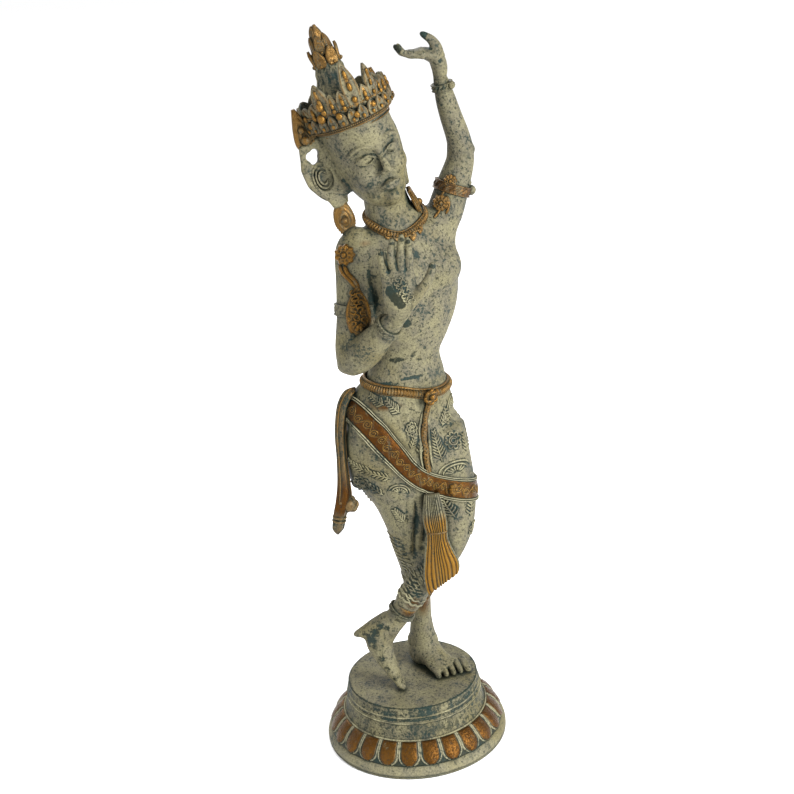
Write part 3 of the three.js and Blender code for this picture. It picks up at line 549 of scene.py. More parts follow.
# a pale round floor, a white world and three soft square lamps that look at the figure's middle
def makeStudio():
    turn = wholeTurn(64)
    edge = np.stack([np.cos(turn) * 4, np.sin(turn) * 4, 0 * turn - 0.0001], -1)
    mesh = bpy.data.meshes.new("floor")
    mesh.from_pydata(edge.tolist(), [], [list(range(64))])
    floor = bpy.data.objects.new("floor", mesh)
    bpy.context.collection.objects.link(floor)
    paper = bpy.data.materials.new("floorPaper")
    paper.use_nodes = True
    paper.node_tree.nodes["Principled BSDF"].inputs["Base Color"].default_value = studio["floor"]
    paper.node_tree.nodes["Principled BSDF"].inputs["Roughness"].default_value = 0.9
    mesh.materials.append(paper)

    world = bpy.data.worlds.new("softWhite")
    bpy.context.scene.world = world
    world.use_nodes = True
    world.node_tree.nodes["Background"].inputs["Color"].default_value = (1, 1, 1, 1)
    world.node_tree.nodes["Background"].inputs["Strength"].default_value = studio["world"]
    lamps = [
        ("keyLamp", (0.92, -0.78, 0.62), 0.5, studio["key"]),
        ("fillLamp", (-0.8, -0.6, 0.4), 0.6, studio["fill"]),
        ("rimLamp", (-0.2, 0.7, 0.7), 0.5, studio["rim"]),
    ]
    for name, spot, size, power in lamps:
        lamp = bpy.data.lights.new(name, "AREA")
        lamp.size, lamp.energy = size, power
        holder = bpy.data.objects.new(name, lamp)
        holder.location = spot
        holder.rotation_mode = "QUATERNION"
        holder.rotation_quaternion = (Vector((0, 0, 0.16)) - Vector(spot)).to_track_quat("-Z", "Y")
        bpy.context.collection.objects.link(holder)


# the camera stands in front, a little above, and is held slightly askew
cameraPlan = {"eye": (-0.0008, -0.592, 0.400), "aim": (0.00408, 0, 0.16445), "lean": -5.09, "lens": 68.26}


# a camera from eye to aim, its sideways and upward directions turned by the lean
def makeCamera():
    eye, aim = Vector(cameraPlan["eye"]), Vector(cameraPlan["aim"])
    look = (aim - eye).normalized()
    right = look.cross(Vector((0, 0, 1))).normalized()
    up = right.cross(look)
    lean = math.radians(cameraPlan["lean"])
    across = right * math.cos(lean) + up * math.sin(lean)
    above = up * math.cos(lean) - right * math.sin(lean)
    data = bpy.data.cameras.new("camera")
    data.lens, data.sensor_width = cameraPlan["lens"], 36
    camera = bpy.data.objects.new("camera", data)
    turn = Matrix((across, above, -look)).transposed().to_4x4()
    camera.matrix_world = Matrix.Translation(eye) @ turn
    bpy.context.collection.objects.link(camera)
    bpy.context.scene.camera = camera
    bpy.context.scene.view_settings.view_transform = "Standard"


makeStudio()
makeCamera()
print("studio made")


base = {"columns": 240, "petals": 24, "perPetal": 26, "petalRows": 30, "dome": 1.25, "rib": 0.75}
rimAt = np.array(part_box("lotus_skirt")[1])[0] / mm  # outer radius of the base
topAt = np.array(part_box("platform_disc")[1])[2] / mm  # height that the feet stand on


# hand-turned unevenness: the radius swells and shrinks a little round the axis
def uneven(shape, depth=0.0022):
    points, quads, caps = shape
    turn = np.arctan2(points[:, 1], points[:, 0])
    swell = 1 - depth * (1 + np.sin(3 * turn + 0.8) * 0.5 + np.sin(7 * turn + 2.1) * 0.3)
    return points * np.stack([swell, swell, np.ones(len(points))], -1), quads, caps


# a profile (radius, height) turned about the axis, closed by flat faces at both ends
def turnedSolid(profile, columns):
    profile = np.asarray(profile, float)
    turn = wholeTurn(columns)[None]
    radius, height = profile[:, :1], profile[:, 1:]
    return gridShape(np.stack([radius * np.cos(turn), radius * np.sin(turn), height + 0 * turn], -1))


# skirt, petals, drum, cords and platform, each a profile turned about the axis
def makeBase():
    skirt = [
        (rimAt - 0.5, 0), (rimAt - 0.05, 0.35), (rimAt, 0.8), (rimAt - 0.35, 1.0), (rimAt - 0.3, 1.25), (rimAt, 1.45),
        (rimAt, 2.3), (rimAt - 0.2, 3.1), (rimAt - 0.6, 3.9), (rimAt - 1.2, 4.7), (rimAt - 2.0, 5.4),
        (rimAt - 3.0, 5.8),
        (rimAt - 4.6, 6.2), (34, 11), (32.2, 14), (28.6, 14), (34.2, 6), (37.5, 3.4), (37.5, 0),
    ]
    addPiece(
        "lotusSkirt", uneven(turnedShape(skirt, base["columns"])), paleWash, ["lotus_skirt"], rowAt,
    )

    # petals: outside the middle curve of the band by a dome in each petal and two ribs round it
    cells = base["petals"] * base["perPetal"]
    turn = (np.arange(cells) + 0.5) / cells * 2 * math.pi
    across = ((np.arange(cells) + 0.5) / base["perPetal"] % 1 * 2 - 1)[:, None]
    v = np.linspace(0, 1, base["petalRows"])[None]
    broad = 0.78 * np.sqrt(np.clip(1 - np.clip(1 - v / 0.42, 0, 1) ** 2, 0.0004, 1))
    inside = np.clip(1 - (across / broad) ** 2, 0, 1)
    dome = base["dome"] * inside**0.45 * np.clip((1 - v) / 0.05, 0, 1) ** 0.5 * (1 - 0.35 * v)
    ridge = bell(np.abs(across), broad + 0.12, 0.06)
    rib = base["rib"] * ridge * (1 - 0.25 * v) * np.clip((1 - v) / 0.04, 0, 1)
    outward = 0.2 + np.maximum(dome, rib)
    radius = 38.9 - 6.2 * v + 0.7 * np.sin(v * math.pi) + outward * 0.72
    height = 5.6 + 8.5 * v + 0.5 * np.sin(v * math.pi) + outward * 0.45
    inner = np.ones((cells, 1))
    radius = np.concatenate([radius, inner * 31.8, inner * 37.2], 1)
    height = np.concatenate([height, inner * 14.1, inner * 5.6], 1)
    grid = np.stack([radius * np.cos(turn)[:, None], radius * np.sin(turn)[:, None], height], -1)
    gild = np.concatenate([np.clip(inside * 5, 0, 1) + 0 * v, inner * 0, inner * 0], 1)
    low = np.clip((np.abs(across) - broad - 0.2) / 0.06, 0, 1) * np.clip((0.4 - v) / 0.1, 0, 1)
    gap = bell(np.abs(across), broad + 0.02, 0.05) * 0.8
    hollow = np.concatenate([np.clip(0.38 + low + gap, 0, 1), inner * 0, inner * 0], 1)
    pale = np.concatenate([ridge * np.clip(1.6 - 1.3 * inside, 0, 1) + 0 * v, inner * 0, inner * 0], 1)
    layers = {"gild": gild.ravel(), "hollow": hollow.ravel(), "rubbed": pale.ravel()}
    addPiece("lotusPetals", gridShape(grid, ring=True), patinaWash, ["lotus_petals"], rowAt, layers)

    drum = [
        (32.3, 14.3), (32.0, 14.9), (31.5, 16), (31.1, 17.6), (30.8, 19.2), (30.5, 20.6), (30.4, 21.3),
        (27.3, 21.3), (28.4, 14.3),
    ]
    addPiece(
        "plinthDrum", uneven(turnedShape(drum, base["columns"])), darkPatina, ["plinth_drum"], rowAt,
    )

    turn = wholeTurn(360)
    loop = np.stack([np.cos(turn) * 32.3, np.sin(turn) * 32.3, 14.35 + 0 * turn], -1)
    twist = 0.5 + 0.09 * np.sin(turn * 150)
    lines = [carried(loop, circle(8), upward, twist, ring=True)]
    for radius, height, thick in [(30.4, 21.9, 0.34), (29.9, 24.5, 0.28)]:
        loop = np.stack([np.cos(turn) * radius, np.sin(turn) * radius, height + 0 * turn], -1)
        lines.append(
            carried(loop, circle(6), upward, thick * (1 + 0.25 * np.sin(turn * 23 + 2 * np.sin(turn * 5))), ring=True)
        )
    addPiece("drumCord", joined(*lines), ridgeWash, (), rowAt)

    platform = [
        (4, 25.4), (26, 25.4), (27.2, 21.65), (30.2, 21.65), (30.45, 21.9), (30.4, 22.5), (30.1, 22.8), (29.9, 24.4),
        (30.0, 24.6), (30.1, 24.8), (30.0, 25.0), (29.8, 25.2), (29.6, 27.2), (29.35, 27.5), (29.45, 27.7),
        (29.5, 28.0), (29.45, topAt - 0.35), (29.2, topAt - 0.1), (28.8, topAt), (26, topAt), (20, topAt),
        (12, topAt), (4, topAt),
    ]
    worn = np.array(
        [
            0.5, 0.5, 0.7, 0.66, 0.2, 0.5, 0.78, 0.73, 0.3, 0.3, 0.72, 0.74, 0.71, 0.66, 0.68, 0.68, 0.72, 0.95, 0.66,
            0.4, 0.4, 0.4, 0.4,
        ]
    )
    layers = {"hollow": np.repeat(worn, base["columns"])}
    addPiece(
        "platformDisc", uneven(turnedSolid(platform, base["columns"])), patinaWash, ["platform_disc"],
        rowAt, layers,
    )


makeBase()
print("base made")


# stations of the limbs: each row is x, y, z, half width, half depth
chest = [
    (4.6, 0, 168, 18.8, 13.4), (6, 0, 177, 17, 12.4), (7.6, 0, 186, 14, 10.6), (9.4, 0, 195, 17.2, 11),
    (11.4, 0, 207, 20.2, 12.2), (11.4, 0, 220, 21.2, 12.4), (10.4, 0.6, 230, 21.4, 11.2), (8.6, 1.2, 237, 18.2, 9.2),
    (7, 1.8, 242.4, 10.6, 8),
]
throat = [(6, 1.8, 235, 11, 8.6), (4.6, 1.6, 243.6, 10.2, 8.2), (3.4, 0.8, 250, 9.2, 8), (2.2, 0.3, 258, 8.2, 7.6)]
pelvis = [
    (4.6, 0, 173, 18.4, 13.2), (3.8, 0, 164, 21.4, 15), (2.4, 0, 155, 24.4, 16.6), (2.6, 0, 146, 26, 17.4),
    (4.8, -0.6, 136, 25, 16.8), (7.6, -1.6, 126, 22, 15.4), (9.6, -2.6, 117, 17, 13),
]
rightLeg = [
    (-7, -1, 146, 13, 12.6), (-6.4, -2.6, 135, 12.2, 12.6), (-3.4, -4.6, 121, 9.8, 11.4), (-0.9, -5.6, 108, 8.0, 9.4),
    (-0.2, -4.4, 98, 6.9, 8), (1, -0.6, 87, 6, 6.8), (2.2, 3.4, 75, 5, 5.6),
]
leftLeg = [
    (15, 1.6, 146, 12.6, 12.8), (17.6, -1, 134, 12.4, 12.8), (19.6, -4.6, 121, 11.6, 11.8),
    (19.4, -7.6, 109, 10, 10.6),
    (16.8, -10.2, 100.6, 8.8, 9), (11, -12, 91, 7.6, 7.6), (3.6, -12, 81.5, 6.4, 6.4), (-2.8, -11.4, 72, 5.6, 5.6),
]
rightUpperArm = [
    (-9.6, -5.4, 238.4, 4.6, 5), (-11.4, -6.6, 231.6, 7.4, 7.4), (-12.4, -8.4, 219, 7.4, 7.2),
    (-13.6, -10.6, 205, 7.4, 7), (-16, -13, 192.6, 6.8, 6.4), (-17.8, -14.2, 184.6, 4.8, 4.8),
]
rightForearm = [
    (-17, -14, 186.6, 5.4, 5.6), (-13.4, -16.6, 190, 7, 6.6), (-8, -20.2, 195.8, 7, 6.3),
    (-2.6, -24.8, 202.4, 5.5, 4.9), (2.4, -28.2, 208.2, 4, 3.8),
]
leftUpperArm = [
    (22.6, 6, 233.6, 7.2, 7), (27, 7.4, 240.6, 7.6, 7.2), (31, 8.8, 250.4, 7, 6.6),
    (34.6, 9.8, 259.6, 5.9, 5.8), (35.8, 10, 265.6, 5.2, 5.2),
]
leftForearm = [
    (35.8, 10, 264.6, 5.2, 5.2), (34.6, 9.8, 271.4, 4.9, 4.8), (32.3, 9, 280, 4.5, 4.3),
    (30.6, 8.2, 287.4, 4, 3.8), (29.2, 7.5, 295, 2.9, 2.8),
]
fleshSteps = {"body": 0.52, "hand": 0.3, "foot": 0.36, "head": 0.36}


# gold left on the wash in patches: the most of 1.5 exp(-d^2) - 0.35, with d the distance in each patch's radii
def goldPatches(points, patches):
    gild = np.zeros(len(points))
    for spot, radii in patches:
        away = (((points - np.array(spot)) / radii) ** 2).sum(1)
        gild = np.maximum(gild, 1.5 * np.exp(-away) - 0.35)
    return np.clip(gild, 0, 1)


# a place on the chest, by how far across and forward of its middle it is
def beside(across, forward, z):
    side = np.cross(upward, chestFront)
    spot = side * across + chestFront * forward
    return np.array([11.4 + spot[0], spot[1], z])


# where gold still shows on the wash: the middle and the radii of each patch; the first torso patch, brown, is painted
# shade under the right arm
bodyGold = {
    "torso": [((-8.5, -15.5, 208), (4.2, 5, 7)), ((-6, -14, 236), (3, 4, 1.6)), ((14, -12, 236), (3, 4, 2))],
    "hips": [
        ((-4, -13, 166.4), (7, 6, 1.6)), ((5, 3, 68), (3, 8, 5)), ((0.2, -15.5, 74.5), (3.6, 6, 3.4)),
        ((-6, -15, 168), (6, 6, 2)), ((-8, -16, 171), (3, 5, 2)), ((24, -16, 150), (2, 5, 3)),
    ],
    "rightFoot": [((5, -1, 63), (5, 8, 9))],
    "leftFoot": [((-1.6, -15, 70), (5, 6, 4.6))],
}
# dark patches on the front of the torso, partly painted shade behind the hand, under the right arm and above the belt,
# partly dark patina: x, z, half width, half height, depth
torsoShade = [
    (6.6, 201.4, 3, 2, 0.95), (-4.5, 222, 3, 4, 0.74), (-5, 213, 3, 5, 0.82), (13.6, 229, 2.4, 2.6, 0.76),
    (2, 185.4, 4.4, 1.2, 0.95),
    (9, 187, 1.6, 2.6, 0.84), (1.8, 229, 1.4, 5, 0.82), (5.2, 231, 1.2, 6, 0.8), (11.8, 231, 1.4, 4, 0.78),
    (8, 177.4, 6, 0.9, 0.92),
    (-2, 175.6, 5, 1.4, 0.86), (24, 215, 4, 3.4, 0.7), (13, 196, 3, 4, 0.66), (10.6, 208, 2.4, 4, 0.68),
    (-14.4, 206.4, 3, 2.4, 0.84),
]


# torso and arms as one skin: limbs and swellings merged, then dents for navel, spine and collar bones
def makeTorso():
    field = newField((-27, -36, 168), (46, 21, 298), fleshSteps["body"])
    addLimb(field, chest, chestFront, 1, (3, 3))
    for across in [9.4, -9.4]:
        addBlob(field, beside(across, 5.6, 220.5), (9.6, 9.2, 9.4), 3.5)
    addLimb(field, throat, chestFront, 4.5, (3, 1))
    addBlob(field, beside(0, -7.5, 226), (15, 6, 14), 4)  # shoulder blades
    addLimb(field, leftUpperArm, chestFront, 4.5, (3, 3))
    addLimb(field, leftForearm, chestFront, 2, (2, 3))
    addBlob(field, (-8.4, -4.4, 232.6), (7, 7, 7.4), 5)  # right shoulder
    addLimb(field, rightUpperArm, chestFront, 1.6, (3, 2.5))
    addLimb(field, rightForearm, chestFront, 1.6, (2.5, 3))
    # a web that closes the gap between the right upper arm and the torso, put where there is only shade under the arm
    addLimb(field, [(-4, -4, 212, 4, 5), (-5.4, -7, 206, 4, 5), (-7, -10, 201, 3, 4)], chestFront, 3, (2, 2))
    cutBelow(field, 169.4)
    points, quads = skinOf(field)
    normals = normalsOf(points, quads)
    points = dent(points, normals, np.array([7.6, 0, 184]) + facing(20) * 10.6, (1.7, 3, 1.3), -0.7)  # navel
    points = dent(points, normals, np.array([10, 0, 206]) + chestFront * 14, (2.4, 5, 10), -0.7)  # middle line
    points = dent(points, normals, np.array([9.4, 1, 200]) - chestFront * 12, (2.6, 5, 26), -1.5)  # spine
    for start, end in [((1.5, -7.5, 236.5), (-7, -8.5, 237)), ((12, -5, 238.5), (21, -1, 238.5))]:  # collar bones
        for share in np.linspace(0, 1, 7):
            spot = np.array(start) * (1 - share) + np.array(end) * share
            points = dent(points, normals, spot, (2.2, 3, 1.3), 0.28)
    hollow = hollowness(points, quads, 2.6)
    for x, z, across, tall, depth in torsoShade:  # painted shade and dark patina where the wash has worn off
        away = ((points[:, 0] - x) / across) ** 2 + ((points[:, 2] - z) / tall) ** 2
        hollow = np.where(points[:, 1] < -4, np.maximum(hollow, depth - 0.3 * away), hollow)
    layers = {"hollow": hollow, "gild": goldPatches(points, bodyGold["torso"])}
    addPiece(
        "torsoAndArms", (points, quads, []), patinaWash, ["torso", "right_arm", "left_arm"],
        layers=layers,
    )
    return treeOf(points, quads)


# folds of the cloth over the legs and hips: the line, then width, waves and depth
hipFolds = [
    ([(3, -17, 128), (3.5, -17, 116), (2, -15, 104), (1, -12, 92)], 4.5, 2.2, 0.42),
    ([(12, -17, 132), (12, -18, 120), (11, -17, 108), (7, -16, 96)], 5, 2.5, 0.5),
    ([(4, -17, 166), (6, -17, 158), (9.5, -17, 148), (11, -17, 138)], 4, 1.6, 0.4),
    ([(-9, -14, 164), (-3, -17, 152), (6, -18, 143), (11, -18, 136)], 6, 1.6, 0.35),
]


# drape of the cloth: shallow folds that run along a line, as waves across it
def foldsAlong(points, normals, line, width, waves, depth):
    line = smoothRows(line, 60)
    away = ((points[:, None, [0, 2]] - line[None, :, [0, 2]]) ** 2).sum(-1)
    near = np.argmin(away, axis=1)
    tangent = unit(np.gradient(line[:, [0, 2]], axis=0))[near]
    off = points[:, [0, 2]] - line[near][:, [0, 2]]
    across = off[:, 0] * tangent[:, 1] - off[:, 1] * tangent[:, 0]
    run = near / (len(line) - 1)
    fade = np.exp(-((across / width) ** 2)) * np.clip(np.minimum(run, 1 - run) * 5, 0, 1)
    fade = fade * np.clip(-normals[:, 1] * 2, 0, 1)
    return points + normals * (depth * fade * np.sin(across / width * math.pi * waves))[:, None]


# hips and legs as one skin: pelvis, two legs and gathered cloth merged, then shallow folds
def makeHips():
    field = newField((-30, -27, 66), (46, 22, 175), fleshSteps["body"])
    addLimb(field, pelvis, hipFront, 1, (3, 4))
    addLimb(field, rightLeg, hipFront, 4.5, (3, 2))
    addLimb(field, leftLeg, hipFront, 4.5, (3, 2))
    # cloth between the legs
    addLimb(field, [(9, -5, 130, 8, 8), (8.6, -6.6, 116, 7.6, 7), (7.6, -8, 101, 6, 5)], hipFront, 4, (2, 2))
    addBlob(field, (-12.2, -2.5, 160.5), (8.2, 9, 11), 4)  # gathered cloth at the hip
    addLimb(
        field,
        [(-14, -3, 150, 8, 9), (-16.4, -5, 141, 6.2, 7.6), (-17.6, -6, 133.4, 4.8, 6), (-17.4, -6.4, 128.6, 3.4, 5)],
        hipFront, 3, (2, 1.6),
    )
    for across in [9.5, -9.5]:  # seat
        side = np.cross(upward, hipFront)
        addBlob(field, np.array([3, 0, 149]) + side * across - hipFront * 7, (10.5, 11, 12), 4)
    points, quads = skinOf(field)
    normals = normalsOf(points, quads)
    for line, width, waves, depth in hipFolds:
        points = foldsAlong(points, normals, line, width, waves, depth)
    hollow = hollowness(points, quads, 2.4)
    layers = {"hollow": hollow, "gild": goldPatches(points, bodyGold["hips"])}
    nodes = ["hip_drape", "right_leg", "left_leg"]
    addPiece("hipsAndLegs", (points, quads, []), patinaWash, nodes, layers=layers)
    return treeOf(points, quads)


torsoTree = makeTorso()
hipTree = makeHips()
print("body made")


rightHand = {
    "palm": [
        (3.0, -29.2, 208.6, 3.3, 3.2), (4.6, -31, 213.4, 4.9, 3.8), (5.2, -31.4, 218.6, 6.6, 3.6),
        (5.4, -30.8, 224, 6.7, 2.8), (5.4, -30.2, 228.4, 6.1, 2.1),
    ],
    "fingers": [
        [(0.6, -30.4, 226), (-0.4, -30.4, 230.4), (-0.8, -30.1, 233.6), (-0.6, -28.9, 236.6)],
        [(3.7, -30.4, 228), (3.1, -30.9, 233.4), (3.2, -30.4, 237.2), (3.9, -29, 240.2)],
        [(6.6, -30.4, 228), (6.7, -30.9, 234), (7.1, -30.3, 238.4), (7.7, -28.7, 241.6)],
        [(9.3, -30.3, 227), (9.9, -30.7, 233), (10.1, -30.2, 236.8), (10, -28.7, 240.2)],
    ],
    "thumb": [(7.4, -31.4, 215.6), (11, -32.4, 218), (14.2, -32.6, 221.6), (17, -32.2, 225.4), (18.8, -31, 229.8)],
    "box": ((-6, -39, 203), (24, -22, 247)),
    "dark": [  # x, y, z and reach of dark patches: patina in the palm's hollow and at the tips, painted shade between the fingers
        (1.2, -34, 222.2, 2.0), (2.2, -35, 220.8, 2.1), (3.2, -35, 219.4, 2.2), (4.2, -35, 218, 2.2),
        (5.2, -35, 216.6, 2.0), (18.8, -31, 229.6, 1.6),
        (-0.6, -29.6, 236, 1.2), (3.9, -29.6, 239.6, 1.2), (7.6, -29.6, 240.8, 1.3), (10, -29.6, 240, 1.2),
        (5.2, -34, 224, 2.6), (7, -34, 221, 2.6), (1.8, -31, 229.5, 1.3), (5.2, -31, 230.5, 1.2),
        (8.4, -31, 230, 1.2),
    ],
}
leftHand = {
    "palm": [
        (29, 7.2, 294.6, 2.5, 2.5), (29.1, 6.6, 299.6, 3.2, 3.6), (27.8, 6, 303.6, 3.2, 4.8),
        (24, 5.4, 305.6, 2.4, 5), (21, 5, 306.1, 1.8, 4.7),
    ],
    "fingers": [
        [(22.6, y, 305.9), (18.4, y - 0.2, 306.2 - 0.2 * i), (15, y - 0.4, 307.3 - 0.4 * i),
         (12.4 + 0.8 * abs(i - 1.5), y - 0.6, 309.6 - 0.5 * i)]
        for i, y in enumerate([1.5, 3.9, 6.3, 8.7])
    ],
    "thumb": [(28.6, 4.4, 304.4), (28.2, 4.0, 308), (26.4, 3.8, 311), (23.8, 3.8, 313)],
    "box": ((8, -5, 290), (36, 15, 317)),
    "dark": [(13, y, 309, 2.0) for y in (0.9, 3.3, 5.7, 8.1)] + [(23.6, 3.8, 313, 1.8), (29, 3, 303, 1.6)],
}


# a hand: a palm, fingers whose width wavers at the joints, and a thumb that thins to its tip
def makeHand(name, hand, front, node, thickness):
    field = newField(*hand["box"], fleshSteps["hand"])
    addLimb(field, hand["palm"], front, 1, (2, 1.5))
    for finger in hand["fingers"]:
        line = smoothRows(finger, 9)
        t = np.linspace(0, 1, 9)
        size = thickness * (1 - 0.34 * t) * (1 + 0.07 * np.cos(t * math.pi * 5.2))
        addLimb(field, np.column_stack([line, size, size]), front, 0.7, (1, 1.6))
    line = smoothRows(hand["thumb"], 9)
    t = np.linspace(0, 1, 9)
    size = thickness * (1.55 - 0.8 * t)
    addLimb(field, np.column_stack([line, size, size * 0.9]), front, 1.6, (1, 1.8))
    points, quads = skinOf(field, 2)
    hollow = hollowness(points, quads, 4.0)
    # dark patches: patina in the palm's hollow and at the tips, and painted shade between the roots of the fingers
    for x, y, z, reach in hand["dark"]:
        away = ((points - [x, y, z]) ** 2).sum(1) / reach**2
        hollow = np.maximum(hollow, 1.1 - 0.42 * away)
    layers = {"hollow": np.clip(hollow, 0, 1)}
    addPiece(name, (points, quads, []), patinaWash, [node], layers=layers)
    return treeOf(points, quads)


rightHandTree = makeHand("rightHand", rightHand, viewFront, "right_hand", 1.9)
makeHand("leftHand", leftHand, viewFront, "left_hand", 1.75)

rightAnkle = [
    (3, 4, 73, 4.8, 5.2), (3.2, 7, 64, 4.9, 5.2), (3, 9.4, 52, 4.9, 5), (3, 10.2, 42, 6, 5.8),
    (3.4, 10.4, 34, 6.6, 6.4), (3.4, 10.4, 30.4, 6, 5.8),
]
rightSole = [
    (-0.6, 15.6, 33, 3, 3.2), (1.4, 12.6, 34, 5, 4.6), (5.4, 7, 34.4, 5.4, 4.6), (9.4, 1.6, 32.4, 6.6, 3.2),
    (12.8, -2.2, 31.3, 7.4, 2.1),
]
leftAnkle = [
    (-3.2, -11.3, 71, 5.2, 5.3), (-7.2, -10.6, 65.4, 5.0, 4.9), (-12.6, -9.6, 59.4, 5.8, 4.8),
    (-16.4, -9, 53, 6.2, 4.7),
    (-15.2, -9.2, 45.6, 4.7, 4.7), (-12.2, -9.6, 38, 3.2, 4.8), (-9.8, -10.2, 33, 2.2, 4.8),
]
leftHeel = [(-12, -9.4, 61.6, 4.6, 4.4), (-18.6, -8.6, 58.6, 4.4, 3.8), (-26.4, -7.4, 56.2, 1.5, 1.7)]
# dark patches on the raised foot: x, z, reach, depth
leftFootShade = [
    (-20.4, 56, 3, 0.86), (-18, 59.4, 2.6, 0.84), (-15.6, 62.4, 2.4, 0.8), (-19.4, 52, 2.6, 0.76),
    (-16.6, 46, 2.4, 0.84),
    (-14, 41, 2, 0.84), (-22.6, 57.6, 1.8, 0.86), (-11, 36, 1.6, 0.84), (-12.6, 62, 1.6, 0.84),
]


# the standing foot: ankle and sole, with five toes fanned forward and a bead for each nail
def makeRightFoot():
    field = newField((-8, -14, 26), (30, 24, 78), fleshSteps["foot"])
    addLimb(field, rightAnkle, viewFront, 1, (1, 1.5))
    addLimb(field, rightSole, upward, 4, (2, 1))
    addBlob(field, (-2.2, 10.2, 40.6), (1.8, 2.2, 2.2), 2)  # ankle bones
    addBlob(field, (7.4, 8.6, 40.6), (2, 2.2, 2.4), 2.4)
    nails = []
    for i in range(5):
        x, y = 7.0 + 3.15 * i, -5.4 + 1.15 * i
        reach = [3.4, 4.2, 4.6, 4.8, 5.6][i]
        root, tip = np.array([x, y + 4, 31.6]), np.array([x + reach * 0.42, y - reach * 0.5, 30.5])
        width = 2.0 if i == 4 else 1.5
        middle = (root + tip) / 2 + [0, 0, 0.5]
        stations = [(*root, width * 1.1, 1.9), (*middle, width, 1.7), (*tip, width * 0.85, 1.35)]
        addLimb(field, stations, np.array([0.3, -0.4, 1.0]), 0.5, (1.5, 1.6))
        ahead = unit(tip - middle)
        nails.append((tip + ahead * 0.6 + [0, 0, 1.2], ahead, width))
    cutBelow(field, 28.9)
    points, quads = skinOf(field, 2)
    layers = {"hollow": hollowness(points, quads, 3.5), "gild": goldPatches(points, bodyGold["rightFoot"])}
    addPiece("rightFoot", (points, quads, []), patinaWash, ["right_foot"], layers=layers)
    centres = np.array([spot for spot, _, _ in nails])
    ahead = np.array([way for _, way, _ in nails])
    side = unit(np.cross(ahead, upward))
    axes = np.stack([side, ahead, np.cross(side, ahead)], 1)
    radii = np.array([(width * 0.6, 1.3, 0.4) for _, _, width in nails])
    addPiece("rightToenails", beads(centres, radii, axes), patinaWash)


# the raised foot: ankle and heel, and five toes that stand on their tips in a row
def makeLeftFoot():
    field = newField((-32, -22, 26), (8, 2, 76), fleshSteps["foot"])
    addLimb(field, leftAnkle, viewFront, 1, (1, 1.2))
    addLimb(field, leftHeel, viewFront, 3, (2, 1.5))
    addBlob(field, (-9.6, -13.6, 60.6), (2.6, 1.8, 2.8), 1.4)  # ankle bone
    for i in range(5):
        y = -6.1 - 2 * i
        reach = [3.6, 4.2, 4.6, 5, 5][i]
        stations = [
            (-10.6, y, 36.4, 1.25, 1.3), (-10, y - 0.1, 33, 1.2, 1.25),
            (-9.4 + reach * 0.28, y - 0.1, 30.7, 1.35, 1.3),
        ]
        addLimb(field, stations, viewFront, 0.45, (1.5, 1.3))
    cutBelow(field, 28.9)
    points, quads = skinOf(field, 2)
    hollow = hollowness(points, quads, 3.5)
    for x, z, reach, depth in leftFootShade:
        away = ((points[:, 0] - x) ** 2 + (points[:, 2] - z) ** 2) / reach**2
        hollow = np.maximum(hollow, depth - 0.24 * away)
    layers = {"hollow": hollow, "gild": goldPatches(points, bodyGold["leftFoot"])}
    addPiece("leftFoot", (points, quads, []), patinaWash, ["left_foot"], layers=layers)


makeRightFoot()
makeLeftFoot()
print("hands and feet made")


# the head is built in its own place: the face looks along -Y, x is to the figure's left
headPlan = {"place": (-2.6, 1, 269), "faceYaw": -12, "yaw": 32, "tilt": -18}
yaw, tilt = math.radians(headPlan["yaw"]), math.radians(headPlan["tilt"])
headTurn = np.array(Matrix.Rotation(tilt, 3, "Y") @ Matrix.Rotation(yaw, 3, "Z"))


# a shape or points of the head, brought to the figure
def onHead(shape):
    if isinstance(shape, tuple):
        return (shape[0] @ headTurn.T + headPlan["place"], shape[1], shape[2])
    return np.asarray(shape, float) @ headTurn.T + headPlan["place"]


skull = [
    (0, -10.4, -19.0, 3.4, 3.2), (0, -7.6, -16.4, 8.0, 8.4), (0, -3.6, -10.6, 11.4, 13), (0, -0.8, -2, 13.6, 16.2),
    (0, 0, 8, 14.4, 17.8), (0, 0.4, 17, 14.1, 17.6), (0, 1, 23, 11.8, 14.6), (0, 1.4, 26.6, 5, 6.4),
]


# ear plates from the top down to the long lobe; -1 is the right side
ears = {
    -1: [
        (-19.6, 6.4, 13, 4.0, 1.4), (-19.8, 6.6, 8, 5.3, 1.7), (-20.2, 6.8, 2, 6.6, 1.9), (-18.6, 6.2, -4, 6.2, 1.9),
        (-17.2, 5, -9, 5.0, 1.9), (-17.4, 4.2, -13.4, 3.7, 1.6),
    ],
    1: [
        (16.4, 6.4, 13, 3.2, 1.4), (16.4, 6.6, 8, 4.0, 1.7), (16.4, 6.8, 2, 4.8, 1.9), (15.4, 5.4, -4, 4.4, 1.9),
        (13.6, 3.2, -9.6, 3.6, 1.9), (11.8, 0.8, -14, 2.6, 1.7), (10.2, -1.8, -17.6, 1.7, 1.4),
    ],
}


# a raised or cut line of the face: thick in its middle by the sine of its run, on both sides if mirrored
def ridge(field, line, radius, blend, flat=1.0, front=viewFront, mirror=True, cut=False):
    sides = [1, -1] if mirror else [1]
    for side in sides:
        rows = smoothRows(np.asarray(line, float) * [side, 1, 1], 12)
        t = np.linspace(0, 1, 12)
        size = radius * (0.45 + 0.55 * np.sin(t * math.pi) ** 0.6)
        addLimb(field, np.column_stack([rows, size, size * flat]), front, blend, (1, 1), cut)


